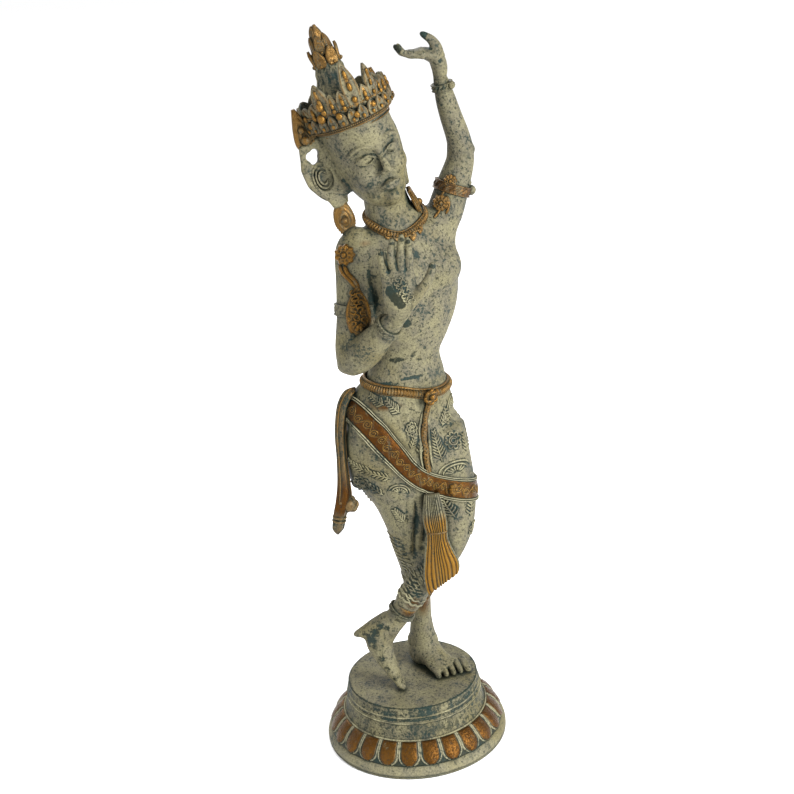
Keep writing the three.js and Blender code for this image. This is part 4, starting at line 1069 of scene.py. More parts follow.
# the form is built with the face along -Y and turned a little to the right afterwards; ears stay square on
def makeHead():
    turned = np.array(Matrix.Rotation(math.radians(headPlan["faceYaw"]), 3, "Z"))
    earFront = viewFront @ turned
    field = newField((-27, -24, -24), (27, 24, 32), fleshSteps["head"])
    addLimb(field, skull, viewFront, 1, (2, 2))
    for side in [1, -1]:
        addBlob(field, (side * 6.8, -10.6, -5.2), (4.2, 3.9, 4.4), 4)  # cheek
        addBlob(field, (side * 5.6, -19.0, 2.2), (4.3, 2.5, 2.7), 1.8, cut=True)  # eye socket
        addBlob(field, (side * 5.6, -13.6, 1.6), (3.8, 3.2, 2.5), 0.4)  # eye
    ridge(field, [(1.6, -17.3, 4.8), (5.0, -16.9, 6.5), (8.4, -15.0, 6.3), (10.8, -12.4, 4.8)], 0.6, 1.3)
    ridge(field, [(2.3, -16.6, 1.0), (4.4, -16.9, 2.5), (6.8, -16.5, 2.6), (9.6, -14.0, 1.4)], 0.5, 0.35)
    ridge(field, [(2.3, -16.6, 0.8), (4.6, -16.9, -0.3), (7.2, -16.0, -0.2), (9.6, -14.0, 1.2)], 0.36, 0.35)
    nose = [(0, -16.5, 5.8, 1.2, 1.1), (0, -17.5, 1, 1.15, 1.4), (0, -18.4, -3, 1.4, 1.7), (0, -18.8, -5.4, 1.6, 1.5)]
    addLimb(field, nose, viewFront, 1.2, (2, 1.2))
    for side in [1, -1]:
        addBlob(field, (side * 1.7, -17.4, -5.8), (1.15, 1.6, 1.15), 0.7)
        addBlob(field, (side * 1.0, -18.8, -7.4), (0.6, 0.8, 0.5), 0.3, cut=True)
    addBlob(field, (0, -15.6, -11.6), (3.3, 1.4, 2.0), 2.2)
    ridge(field, [(0, -17.1, -10.9), (1.1, -17.2, -10.6), (2.5, -16.7, -10.9), (3.9, -15.6, -11.3)], 0.5, 0.6)
    ridge(field, [(0, -16.9, -12.4), (1.3, -16.8, -12.4), (2.6, -16.3, -12.1), (3.7, -15.5, -11.6)], 0.55, 0.6)
    ridge(
        field, [(0, -17.8, -11.6), (1.3, -17.6, -11.5), (2.8, -16.9, -11.5), (4.2, -15.7, -11.2)], 0.24, 0.2, cut=True,
    )
    addBlob(field, (0, -12.4, -16.8), (2.7, 2.5, 2.2), 3.2)
    for side in [1, -1]:
        ear = np.array(ears[side])
        jaw = np.array(
            [
                (side * 14.4, 5.4, 14, 3.4, 2.0), (side * 14, 5.2, 6, 2.6, 2.4), (side * 13.6, 4.4, -4, 4.0, 2.6),
                (side * 12.6, 3, -10, 3.4, 2.2),
            ]
        )
        for part in [ear, jaw]:
            part[:, :3] = part[:, :3] @ turned
            addLimb(field, part, earFront, 1.5, (1.5, 1))
        shift = 0 if side < 0 else -3
        for x, z, size in [(18.2, 9.2, 2.0), (20.4, 9.0, 1.8), (19.2, 7.2, 2.1)]:  # the opening through the top
            addBlob(field, np.array([side * x + shift, 7, z]) @ turned, (size, 9, size), 0.5, cut=True)
        addBlob(
            field, np.array([side * 19.8 + shift, 4.4, -1.0]) @ turned, (4.2 + shift * 0.4, 1.6, 5.0), 0.5, cut=True,
        )
    points, quads = skinOf(field, 2)
    hollow = hollowness(points, quads, 3.2)
    placed = onHead(points @ turned.T)
    addPiece("head", (placed, quads, []), patinaWash, ["head"], layers={"hollow": hollow})


makeHead()
print("head made")


# a leaf: across runs from edge to edge and up from foot to tip; it narrows to a point, with a raised
# edge and a swelling middle; front and back are one closed sheet
def leafShape(foot, right, up, out, width, height, thick=1.2, belly=0.9, bend=0.0, rows=18, cols=17):
    v = np.linspace(0, 1, rows)[:, None]
    u = np.linspace(-1, 1, cols)[None]
    broad = width / 2 * (0.72 + 1.5 * v * (1 - v)) * np.clip(1 - v**2.6, 0.0, 1) ** 0.75 + 0.05
    edge = bell(np.abs(u), 0.84, 0.12) * 0.35
    swell = belly * (1 - u**2) * (1 - v) ** 0.6 * (0.6 + 0.4 * np.cos(v * 9.4))
    rise = thick / 2 + edge * np.clip((1 - v) * 6, 0, 1) + swell
    rise = rise * np.clip((1.001 - np.abs(u)) * 8, 0.15, 1)
    lean = bend * v**2 * height
    right, up, out = (np.asarray(w, float) for w in (right, up, out))

    def placed(across, outward):
        flat = np.asarray(foot, float) + right * (across * broad)[..., None] + up * (
            v * height + 0 * across
        )[..., None]
        return flat + out * (outward + lean)[..., None]

    face = placed(u + 0 * v, rise)
    back = placed(u[:, ::-1] + 0 * v, -thick / 2 + 0 * rise)
    return gridShape(np.concatenate([face, back], 1))


crownPlan = {
    "leaves": [
        (-19, 6.6, 18.4), (9, 5.0, 14), (-60, 8, 13.6), (32, 6.4, 6.8), (-34, 5.4, 8.4), (-47, 5, 8.2),
        (-4, 5.4, 7.2),
        (21, 5.2, 6.6), (-76, 6.5, 6.4), (52, 7, 6.2), (72, 7, 5.4), (92, 7, 5.2), (-94, 7.4, 5.2),
    ],
    "backLeaves": [(-122, 9, 5), (-150, 9, 5), (180, 9, 6), (150, 9, 5), (114, 9, 5)],
    "low": 16.4, "high": 23.4,
}


# a place on the crown's oval, at an angle from the front and a height, stood off by some amount
def onCrown(degrees, z, stand=0.0):
    turn = np.radians(degrees)
    grow = (z - 16.4) * 0.12 + stand
    return np.stack([np.sin(turn) * (15.9 + grow), 0.5 - np.cos(turn) * (19.4 + grow), z + 0 * turn], -1)


# the crown's outward direction at an angle: the normal of its oval
def crownOut(degrees):
    turn = math.radians(degrees)
    return unit(np.array([math.sin(turn) * 19.4, -math.cos(turn) * 15.9, 0]))


# a band with scrolled relief, leaves tall and small round its top, bosses on the leaves and beaded rims
def makeCrown():
    low, high = crownPlan["low"], crownPlan["high"]
    turn = np.linspace(0, 360, 420, endpoint=False)[:, None]
    v = np.linspace(0, 1, 22)[None]
    # scrolls: waves across the band that curl with height, deepened between two plain rims
    wave = np.sin(np.radians(turn) * 22 + 2.6 * np.sin(v * 9)) * np.sin(
        v * math.pi * 2.5 + np.sin(np.radians(turn) * 11)
    )
    rims = bell(v, 0.07, 0.05) + bell(v, 0.95, 0.05)
    relief = 0.55 * np.clip(wave * 1.6, -1, 1) * np.sin(
        np.clip((v - 0.14) / 0.72, 0, 1) * math.pi
    ) ** 0.5 + 0.5 * rims
    face = onCrown(turn + 0 * v, low + (high - low) * v + 0 * turn, 0.15 + relief)
    inner = onCrown(turn + 0 * np.ones((1, 3)), low + (high - low) * np.array([[1, 0.5, 0]]) + 0 * turn, -1.5)
    shape = gridShape(np.concatenate([face, inner], 1), ring=True)
    side = np.zeros((420, 3))
    hollow = np.concatenate([np.clip(0.62 - relief * 0.55, 0, 1), side], 1)
    gild = np.concatenate([np.clip(0.25 + relief * 1.3, 0, 1) * (np.abs((turn + 180) % 360 - 180) < 130), side], 1)
    layers = {"hollow": hollow.ravel(), "gild": gild.ravel()}
    addPiece("crownBand", onHead(shape), patinaWash, ["crown"], layers=layers)

    # tall leaves over a row of small ones; gold lies on their middle ridges and edges
    leaves, gilds, places, radii, axes = [], [], [], [], []

    def addBoss(spot, up, out, size, tall):
        places.append(spot)
        radii.append((size, size * 0.8, size * tall))
        axes.append(np.stack([np.cross(up, out), out, up]))

    row = [(degrees, 4.2, 5.4) for degrees in range(-172, 180, 13)]
    for count, (degrees, width, height) in enumerate(crownPlan["leaves"] + crownPlan["backLeaves"] + row):
        small = count >= len(crownPlan["leaves"] + crownPlan["backLeaves"])
        out = crownOut(degrees)
        up = unit(upward + out * 0.1)
        right = np.cross(up, out)
        foot = onCrown(degrees, 17.4, 0.9) if small else onCrown(degrees, high - 1.2, -0.4)
        leaves.append(leafShape(foot, right, up, unit(out - up * 0.1), width, height, bend=-0.001 * height))
        u = np.concatenate([np.linspace(-1, 1, 17), np.zeros(17) + 9])[None]
        v = np.linspace(0, 1, 18)[:, None]
        edge = bell(np.abs(u), 0.84, 0.1) * 0.8
        gilds.append(np.clip(1.3 * np.exp(-((u / 0.34) ** 2)) * (0.55 + 0.45 * np.cos(v * 9.4)) + edge, 0, 1))
        addBoss(foot + up * height * 0.16 + out * 1.3, up, out, min(1.2, width * 0.17), 1.2)
        if height > 6:
            addBoss(foot + up * height * 0.44 + out * 1.1, up, out, min(1.0, width * 0.15), 1.9)
        if height > 12:
            addBoss(foot + up * height * 0.7 + out * 0.9, up, out, 0.75, 2.8)
    shape = onHead(joined(*leaves))
    gild = np.concatenate([one.ravel() for one in gilds])
    addPiece("crownLeaves", shape, leafWash, layers={"gild": gild, "hollow": 0.62 - 0.3 * gild})

    big = [
        (-62, 27, 1.7), (-66, 22.4, 1.8), (-44, 21.4, 1.4), (-24, 19.6, 1.3), (0, 20.6, 1.2), (22, 20.4, 1.2),
        (-88, 20.4, 1.3),
    ]
    for degrees, z, size in big:
        out = crownOut(degrees)
        addBoss(onCrown(degrees, z, 1.6 if z < 26 else 0.9), upward, out, size, 1.1)
    shape = onHead(beads(np.array(places), np.array(radii), np.array(axes)))
    addPiece("crownBosses", shape, brightGold)

    degreesRound = np.linspace(0, 360, 130, endpoint=False)
    rims = [beads(onCrown(degreesRound, low - 0.1, 0.45), np.full(130, 0.46), sides=6)]
    rims.append(beads(onCrown(degreesRound, high - 0.2, 0.55), np.full(130, 0.48), sides=6))
    across = np.linspace(-82, 82, 60)
    rims.append(beads(onCrown(across, 13.7, -1.05), np.full(60, 0.36), sides=6))
    line = onCrown(np.linspace(0, 360, 160, endpoint=False), 15.2, -0.95)
    rims.append(carried(line, circle(8), upward, 0.55, ring=True))
    addPiece("crownBeading", onHead(joined(*rims)), washedGold)


# bound hair: a round column whose radius ripples in strands, under three tiers of small leaves
def makeTopknot():
    knot = smoothRows(
        [
            (0, 2.4, 22, 9, 9), (0.3, 3.2, 25.5, 8.2, 8.2), (0.8, 3.6, 29, 7.2, 7), (1.8, 4, 35, 5.8, 5.6),
            (2.2, 4.2, 39, 5, 4.8),
        ],
        60,
    )
    turn = wholeTurn(120)[None]
    run = np.linspace(0, 1, 60)[:, None]
    strands = 1 + 0.06 * np.abs(np.sin(turn * 7 + run * 5)) + 0.03 * np.sin(run * 26)
    x = knot[:, 0:1] + np.cos(turn) * knot[:, 3:4] * strands
    y = knot[:, 1:2] + np.sin(turn) * knot[:, 4:5] * strands
    points = np.stack([x, y, knot[:, 2:3] + 0 * turn], -1)
    hollow = (0.75 - (strands - 1) * 9) + 0 * turn
    layers = {"hollow": np.clip(hollow, 0, 1).ravel()}
    addPiece("topknot", onHead(gridShape(points)), darkPatina, ["topknot"], layers=layers)

    leaves, drops, sizes = [], [], []
    for tier, (z, ring, count, width, height, splay) in enumerate(
        [(37.6, 4.6, 6, 5.0, 7.6, 0.12), (42.4, 3.4, 5, 4.2, 7.6, -0.1), (46.4, 2.2, 4, 3.2, 7.4, -0.22)]
    ):
        for k in range(count):
            turn = 2 * math.pi * (k + 0.5 * tier) / count - math.pi / 2
            out = np.array([math.cos(turn), math.sin(turn), 0])
            up = unit(upward + out * splay)
            foot = np.array([2.4, 4.1, z]) + out * ring
            leaves.append(leafShape(foot, np.cross(up, out), up, out, width, height, 1.0, 0.8, rows=12, cols=11))
            drops.append(foot + out * 1.0 + up * 0.8)
            sizes.append(0.8 - 0.12 * tier)
    core = smoothRows(
        [
            (2.2, 4.2, 37.5, 5, 4.8), (2.5, 4.2, 42, 3.9, 3.7), (2.8, 4, 47, 2.5, 2.4), (3, 3.8, 51, 1.5, 1.4),
            (3, 3.6, 53.9, 0.5, 0.5),
        ],
        30,
    )
    turn = wholeTurn(24)[None]
    points = np.stack(
        [
            core[:, :1] + np.cos(turn) * core[:, 3:4], core[:, 1:2] + np.sin(turn) * core[:, 4:5],
            core[:, 2:3] + 0 * turn,
        ],
        -1,
    )
    shape = joined(gridShape(points), *leaves, beads(np.array(drops), np.array(sizes)))
    addPiece("topknotFinial", onHead(shape), washedGold, ["topknot_finial"])


# a plaque hung from the ear: an oval with nested oval ridges that swells towards its middle
def plaque(stations, front, thick):
    rows = smoothRows(stations, 46)
    line = rows[:, :3]
    along, side, ahead = directions(line, front)
    v = np.linspace(-1, 1, 46)[:, None]
    u = np.linspace(-1, 1, 31)[None]
    radial = np.sqrt(u**2 + (v * 1.05) ** 2)
    ridges = 0.34 * np.cos(radial * math.pi * 6) * np.clip(1.15 - radial, 0, 1)
    rise = thick * (1.15 - 0.4 * radial) * np.clip((1.02 - np.abs(u)) * 7, 0.2, 1) + ridges
    face = line[:, None] + side[:, None] * (u * rows[:, 3:4])[..., None] + ahead[:, None] * rise[..., None]
    back = line[:, None] + side[:, None] * (u[:, ::-1] * rows[:, 3:4])[..., None] - ahead[:, None] * (thick * 0.7)
    return gridShape(np.concatenate([face, back], 1))


# for each ear a hanging plaque, a leaf of the crown beside it and nested loops in the shell
def makeEarOrnaments():
    sides = {"right": (-1, (0, 0, 0), (-0.45, -0.89, 0)), "left": (1, (-9.4, -9.6, -6.4), (0.85, -0.53, 0))}
    for word, (side, shift, front) in sides.items():
        x, y, z = shift
        stations = [
            (side * 17.4 + x, 4.0 + y, -13.0 + z, 2.2), (side * 18.2 + x, 4.4 + y, -17 + z, 3.9),
            (side * 18.7 + x, 4.8 + y, -21.8 + z, 4.0), (side * 19.4 + x, 5.4 + y, -28 + z, 0.9),
        ]
        front = unit(np.array(front))
        parts = [plaque(stations, front, 1.1)]
        rows = smoothRows(stations, 17)[1:-1]
        _, across, ahead = directions(rows[:, :3], front)
        for edge in [1, -1]:
            parts.append(
                beads(rows[:, :3] + across * rows[:, 3:4] * edge * 0.92 + ahead * 0.5, np.full(15, 0.52), sides=6)
            )
        middle = np.array(stations[2][:3]) * 0.6 + np.array(stations[1][:3]) * 0.4
        parts.append(beads([middle + front * 1.5], np.array([1.5])))
        addPiece(word + "Earring", onHead(joined(*parts)), washedGold, [word + "_earring"])

        leaf = [
            (side * 18.6, 6.2, 11.6, 3.2), (side * 18.9, 6.2, 14.6, 4.6), (side * 19.2, 5.8, 20, 3.6),
            (side * 19.4, 5.2, 28.6, 0.7),
        ]
        parts = [plaque(leaf, unit(np.array([side * 0.4, -1, 0])), 1.1)]
        spots = np.array(
            [(side * 20.0, 4.6, 15.6), (side * 20.0, 4.4, 20.0), (side * 16.8, 4.8, 14.0), (side * 17.2, 4.4, 18.4)]
        )
        parts.append(beads(spots, np.array([1.9, 1.4, 0.9, 1.0])))
        addPiece(word + "SideLeaf", onHead(joined(*parts)), washedGold, [word + "_crown_side_leaf"])

        loops = []
        for grow in [1.0, 0.72, 0.44]:
            turn = np.linspace(0.3, 2 * math.pi - 0.5, 40)
            ring = np.stack(
                [
                    side * 19.4 + (0 if side < 0 else -3) + np.cos(turn) * (4.4 if side < 0 else 3.2) * grow,
                    5.1 + 0 * turn, -0.8 + np.sin(turn) * 6.0 * grow,
                ],
                -1,
            )
            loops.append(wire(ring, 0.5, (0, -1, 0.01)))
        addPiece(word + "EarFolds", onHead(joined(*loops)), patinaWash)


makeCrown()
makeTopknot()
makeEarOrnaments()
print("crown and ear ornaments made")


# the line round a limb at a share of its length; it runs so that the carried side faces outwards
def ringRound(stations, front, share, stand, count, tiltBack=0.0):
    rows = smoothRows(stations, 400)
    along, side, ahead = directions(rows[:, :3], front)
    k = int(share * 399)
    turn = -wholeTurn(count)[:, None]
    sizes = rows[k, 3:] + stand
    line = rows[k, :3] + side[k] * np.cos(turn) * sizes[0] + ahead[k] * np.sin(turn) * sizes[1]
    return line + along[k] * tiltBack * np.sin(turn), along[k]


# twisted or ribbed cord: its thickness swells and shrinks many times round the ring
def ribbedRing(line, axis, thick, ribs, depth=0.16, sides=10, flat=1.0):
    t = wholeTurn(len(line))
    size = thick * (1 + depth * np.sin(t * ribs))
    return carried(line, circle(sides, 1.0, flat), axis, size, ring=True)


# a ring drawn in to the bodies: each point goes to the outermost place they have on its way to the centre,
# stood off a little, and is then evened with its neighbours
def hugging(line, centre, trees, stand, limit, evened=5):
    drawn = line.copy()
    for spot, point in enumerate(line):
        out = Vector((point[0] - centre[0], point[1] - centre[1], 0)).normalized()
        start = Vector((centre[0], centre[1], point[2]))
        hits = [tree.ray_cast(start + out * 40, -out, 40)[0] for tree in trees]
        reach = max([(hit - start).length for hit in hits if hit is not None] or [10.0])
        drawn[spot] = start + out * (min(reach, limit) + stand)
    for _ in range(evened):
        drawn = (np.roll(drawn, 6, 0) + drawn + np.roll(drawn, -6, 0)) / 3
    return drawn


# the necklace as a ribbed ring between two plain ones, its pendants, and bands with raised rims on the limbs
def makeNeckAndArmRings():
    turn = -wholeTurn(720)
    out = np.stack([np.cos(turn), np.sin(turn), 0 * turn], -1)
    drop = -3.6 * (out @ chestFront)
    line = np.stack(
        [7.9 + out[:, 0] * 11.2, 1 + out[:, 1] * 11.0, 241 + drop * 1.2 + out[:, 0] * 1.6 + 2.4 * np.abs(out[:, 0])],
        -1,
    )
    line = hugging(line, (6.6, 1), [torsoTree], 0.5, 11.8)
    parts = [ribbedRing(line, upward, 1.15, 64, 0.2)]
    for stand, lift in [(-0.4, 1.25), (0.5, -1.2)]:
        parts.append(carried((line + out * stand + upward * lift)[::4], circle(6), upward, 0.42, ring=True))
    addPiece("necklace", joined(*parts), washedGold, ["necklace"])
    pendants = []
    for x, z, width, height in [
        (6.2, 238.0, 3, 3), (9.4, 237.4, 3.4, 4), (12.6, 238.0, 3.4, 4), (15.6, 239.4, 3, 3.4), (2.8, 238.6, 2.6, 2.6),
    ]:
        hit = laidOn(torsoTree, [(x, inFront, z)], 0.2)[0]
        out = unit(np.array([0.3, -0.85, 0.42]))
        up = unit(np.array([0.05, -0.35, -0.93]))
        pendants.append(leafShape(hit, np.cross(up, out), up, out, width, height, 0.8, 0.7, rows=10, cols=9))
        pendants.append(beads([hit + up * 0.9 + out * 0.9], np.array([0.75])))
    addPiece("necklacePendants", joined(*pendants), washedGold)

    bands = [
        ("rightArmlet", "right_armlet", rightUpperArm, chestFront, 0.55, 2.4, patinaWash),
        ("leftArmlet", "left_armlet", leftUpperArm, chestFront, 0.5, 2.1, washedGold),
        ("rightBracelet", "right_bracelet", rightForearm, chestFront, 0.86, 1.5, patinaWash),
        ("leftBracelet", "left_bracelet", leftForearm, chestFront, 0.9, 1.4, patinaWash),
        ("rightAnklet", "right_anklet", rightAnkle, viewFront, 0.1, 1.9, washedGold),
        ("leftAnklet", "left_anklet", leftAnkle, viewFront, 0.1, 0.9, patinaWash),
    ]
    for name, node, stations, front, share, tall, finish in bands:
        count = 240
        line, axis = ringRound(stations, front, share, 0.25, count)
        t = wholeTurn(count)[:, None]
        v = np.linspace(-1, 1, 15)[None]
        rims = bell(np.abs(v), 0.84, 0.12) * 0.6
        scroll = 0.36 * np.sin(t * 16 + 2 * np.sin(v * 3)) * np.clip(1 - np.abs(v) * 1.3, 0, 1)
        rise = 0.35 + rims + 0.25 * (1 - v**2) + scroll
        out = np.cross(unit(np.roll(line, -1, 0) - np.roll(line, 1, 0)), axis) * -1
        if ((line - line.mean(0)) * out).sum() < 0:
            out = -out
        face = line[:, None] + out[:, None] * rise[..., None] + axis * (v * tall + 0 * t)[..., None]
        back = line[:, None] - out[:, None] * 0.9 + axis * (np.array([[1, 0, -1]]) * tall * 0.9 + 0 * t)[..., None]
        shape = gridShape(np.concatenate([face, back], 1), ring=True)
        side = np.zeros((count, 3))
        hollow = np.concatenate([np.clip(0.78 - rise * 0.5, 0, 1), side], 1).ravel()
        addPiece(
            name, shape, finish, [node],
            layers={"hollow": hollow}
        )


# a flower boss: a ring of petals round a domed middle, facing out
def rosetteAt(centre, out, radius, petals=9):
    out = unit(np.asarray(out, float))
    right = unit(np.cross(upward, out))
    up = np.cross(out, right)
    r = np.linspace(0, 1, 14)[:, None]
    turn = wholeTurn(90)[None]
    lobes = 1 + 0.08 * np.cos(turn * petals)
    dome = 0.9 * (1 - r**2) + 0.45 * bell(r, 0.42, 0.07) + 0.5 * bell(r, 0.85, 0.1)
    dome = dome + 0.4 * np.abs(np.cos(turn * petals / 2)) * bell(r, 0.65, 0.16)
    flat = (
        right * np.cos(turn)[..., None] + up * np.sin(turn)[..., None]
    ) * (np.maximum(r, 0.04) * radius * lobes)[..., None]
    face = np.asarray(centre) + flat + out * (dome * radius * 0.34)[..., None]
    foot = np.asarray(centre) + flat[-1:] - out * radius * 0.5
    close = np.asarray(centre) + flat[:1] - out * radius * 0.5
    disc = gridShape(np.concatenate([face, foot, close]))
    middle = beads([np.asarray(centre) + out * radius * 0.3], np.array([radius * 0.3]), sides=10)
    return joined(disc, middle)


# rosettes and curling tails on the shoulders, and a fan of leaves on the right upper arm
def makeArmOrnaments():
    shoulder = laidOn(torsoTree, [(-15.0, inFront, 232.4)], 0.1)[0]
    out = np.array([-0.3, -1, 0.25])
    tails = []
    for shift in [-0.9, 0.9]:
        path = smoothRows(
            [
                (-16.4 + shift, inFront, 228.6), (-15.4 + shift, inFront, 225.4), (-12.8 + shift * 0.8, inFront, 222),
                (-10.8 + shift * 0.3, inFront, 218),
            ],
            22,
        )
        tails.append(wire(laidOn(torsoTree, path, 0.35), 0.95))
    right = joined(rosetteAt(shoulder, out, 4.1), *tails)
    addPiece("rightShoulderRosette", right, rubbedGold, ["right_shoulder_rosette"])

    spot = laidOn(torsoTree, [(25.6, inFront, 246.2)], 0.1)[0]
    second = laidOn(torsoTree, [(30.0, inFront, 254.4)], 0.1)[0]
    shapes = [rosetteAt(spot, (-0.2, -1, 0.2), 3.4), rosetteAt(second, (-0.1, -1, 0.15), 2.7)]
    for a, b in [((22, 240.6), (25, 246)), ((27, 241.6), (28, 249)), ((23.4, 246), (28.6, 255))]:
        path = [
            (a[0] + (b[0] - a[0]) * t + math.sin(t * 3.1) * 1.2, inFront, a[1] + (b[1] - a[1]) * t)
            for t in np.linspace(0, 1, 14)
        ]
        shapes.append(wire(laidOn(torsoTree, path, 0.2), 0.6))
    addPiece("leftShoulderRosette", joined(*shapes), washedGold, ["left_shoulder_rosette"])

    # plaque on the front of the right upper arm: leaves that fan up from the band, over scrolled wire
    shapes = []
    foot = laidOn(torsoTree, [(-12.0, inFront, 201.4)], 0.5)[0]
    out = unit(np.array([0.1, -1, 0.05]))
    for angle, width, height in [(-34, 4.6, 9.5), (-10, 5.0, 15), (12, 4.8, 13), (36, 4, 8.5)]:
        turn = math.radians(angle)
        up = np.array([math.sin(turn), 0.1, math.cos(turn)])
        up = unit(up - out * (up @ out))
        shapes.append(
            leafShape(foot - up * 1.5, np.cross(up, out), up, out, width, height, 1.0, 1.0, rows=14, cols=13)
        )
        shapes.append(beads([foot + up * height * 0.16 + out * 1.3], np.array([1.1])))
    lean = unit(np.array([0.04, 0.08, 1.0]))
    shapes.append(leafShape(foot - lean * 0.5 - out * 0.6, np.cross(lean, out), lean, out, 10, 19, 1.2, 0.4))
    for k in range(16):
        turn = np.linspace(0, 5.4, 14) + k * 2.2
        middle = np.array([-12.2 + 2.2 * math.sin(k * 2.4) * (1 - k / 22), inFront, 203.6 + k * 0.92])
        ring = middle + np.stack([np.cos(turn), 0 * turn, np.sin(turn)], -1) * np.linspace(1.25, 0.3, 14)[:, None]
        shapes.append(wire(laidOn(torsoTree, ring, 2.5), 0.42, sides=5))
    addPiece("rightArmPlaque", joined(*shapes), rubbedGold)
    knobs = beads([(38.4, 8.6, 248.6), (37.6, 6.6, 252.2), (33.2, 5.6, 292.4)], np.array([2.2, 1.3, 1.7]), sides=12)
    addPiece("armKnobs", knobs, patinaWash)


makeNeckAndArmRings()
makeArmOrnaments()
print("rings and rosettes made")


hipAxis = np.array([4.0, -1.0])


# places on the hips by angle from +X and height, stood off along the surface's normal
def onHips(degrees, heights, stand=0.0):
    degrees, heights, stand = np.broadcast_arrays(np.asarray(degrees, float), heights, stand)
    laid = np.empty(degrees.shape + (3,))
    for spot in np.ndindex(degrees.shape):
        turn = math.radians(degrees[spot])
        out = Vector((math.cos(turn), math.sin(turn), 0))
        start = Vector((hipAxis[0], hipAxis[1], heights[spot])) + out * 60
        hit, normal, _, _ = hipTree.ray_cast(start, -out, 60)
        if hit is None:
            hit, normal, _, _ = hipTree.find_nearest(start - out * 40)
        laid[spot] = hit + normal * float(stand[spot])
    return laid


sash = {
    "path": [
        (-180, 160.5), (-165, 164.2), (-147, 161.8), (-131, 156.8), (-119, 151), (-107, 145), (-95, 139.2),
        (-82, 134.6),
        (-67, 131.2), (-52, 128.7), (-40, 126.6), (-28, 124.4), (-12, 122), (5, 121), (30, 122.2), (60, 130),
        (90, 139), (120, 148), (150, 155),
    ],
    "half": 4.7, "rows": 300, "scrolls": 34, "rosette": 0.53,
}
sashLine = smoothRows(sash["path"] + [(180, 160.5)], sash["rows"] + 1)[:-1]
mmPerDegree = 0.33


# a point of the sash in angle and height: s runs along it, v across it from -1 to 1
def onSash(s, v):
    s = np.asarray(s, float) % 1.0 * (len(sashLine) - 1)
    i = np.minimum(s.astype(int), len(sashLine) - 2)
    part = (s - i)[..., None]
    spot = sashLine[i] * (1 - part) + sashLine[i + 1] * part
    way = (sashLine[i + 1] - sashLine[i]) * [mmPerDegree, 1]
    way = way / np.linalg.norm(way, axis=-1, keepdims=True)
    degrees = spot[..., 0] - way[..., 1] * v * sash["half"] / mmPerDegree
    return degrees, spot[..., 1] + way[..., 0] * v * sash["half"]


# a band wound slantwise round the hips: two rims by bell curves across it, and a vine with coils between them
def makeSash():
    v = np.concatenate([np.linspace(-1, -0.66, 24), np.linspace(-0.6, 0.6, 9), np.linspace(0.66, 1, 24)])[None]
    s = (np.arange(sash["rows"]) / sash["rows"])[:, None]
    degrees, heights = onSash(s + 0 * v, v + 0 * s)
    a = np.abs(v)
    rise = 0.75 + 0.55 * bell(a, 0.8, 0.035) + 0.5 * bell(a, 0.95, 0.04)
    rise = rise - 0.5 * bell(a, 0.875, 0.03) - 0.35 * bell(a, 0.72, 0.03)
    rise = np.where(a > 0.995, 0.1, rise)
    face = onHips(degrees, heights, rise + 0 * s)
    backDegrees, backHeights = onSash(s + 0 * v[:, :3], np.array([[0.9, 0, -0.9]]) + 0 * s)
    back = onHips(backDegrees, backHeights, -0.6)
    shape = gridShape(np.concatenate([face, back], 1), ring=True)
    side = np.zeros((sash["rows"], 3))
    gild = np.concatenate([np.where(a < 0.74, 1.0, 0.0) + 0 * s, side], 1)
    grooves = bell(a, 0.875, 0.028) + bell(a, 0.73, 0.022) + (a > 0.99)
    hollow = np.concatenate([np.clip(0.5 + grooves * 0.5, 0, 1) + 0 * s, side], 1)
    pale = bell(a, 0.8, 0.03) + bell(a, 0.95, 0.03)
    layers = {
        "gild": gild.ravel(), "hollow": hollow.ravel(), "rubbed": np.concatenate([pale + 0 * s, side], 1).ravel(),
    }
    addPiece("hipSash", shape, ridgeWash, ["hip_sash"], layers=layers)

    # a running vine along the sash, with a coil in each of its bends
    t = np.linspace(0, 1, 620, endpoint=False)
    degrees, heights = onSash(t, 0.42 * np.sin(t * math.pi * sash["scrolls"]))
    vine = onHips(degrees, heights, 0.85)
    shapes = [carried(vine, circle(5), upward, 0.27, ring=True)]
    lengthMm = 150.0
    for k in range(sash["scrolls"]):
        middle = (k + 0.5) / sash["scrolls"]
        turn = np.linspace(0, 3.6 * math.pi, 22)
        size = np.linspace(1.75, 0.25, 22)
        flip = 1 if k % 2 else -1
        s = middle + np.cos(turn) * size / lengthMm
        v = -0.08 * flip + np.sin(turn) * size * flip / sash["half"]
        degrees, heights = onSash(s, v)
        shapes.append(wire(onHips(degrees, heights, 0.85), 0.26, sides=5))
    addPiece("sashScrolls", joined(*shapes), brightGold)
    degrees, heights = onSash(np.array([sash["rosette"]]), np.array([0.0]))
    spot = onHips(degrees, heights, 0.7)[0]
    turn = math.radians(degrees[0])
    rosette = rosetteAt(spot, (math.cos(turn), math.sin(turn), 0.1), 2.7)
    addPiece("sashRosette", rosette, rubbedGold)


buckleKnot = {"points": 44, "first": 20, "step": 60, "long": 3.0, "short": 1.35, "weave": 0.6, "thick": 0.75}
endKnot = {"points": 40, "first": 0, "step": 62, "long": 3.4, "short": 1.7, "weave": 0.7, "thick": 0.9}


# a knot of three oval loops, each turned a step further in its plane; a sine of twice the turn weaves them
# over and under one another
def knotLoops(centre, right, out, front, knot):
    turn = wholeTurn(knot["points"])[:, None]
    a, b = np.cos(turn) * knot["long"], np.sin(turn) * knot["short"]
    loops = []
    for k in range(3):
        lean = math.radians(knot["step"] * k + knot["first"])
        x, z = a * math.cos(lean) - b * math.sin(lean), a * math.sin(lean) + b * math.cos(lean)
        ring = centre + right * x + upward * z + out * (knot["weave"] * np.sin(turn * 2 + k))
        loops.append(carried(ring, circle(7), front, knot["thick"], ring=True))
    return loops


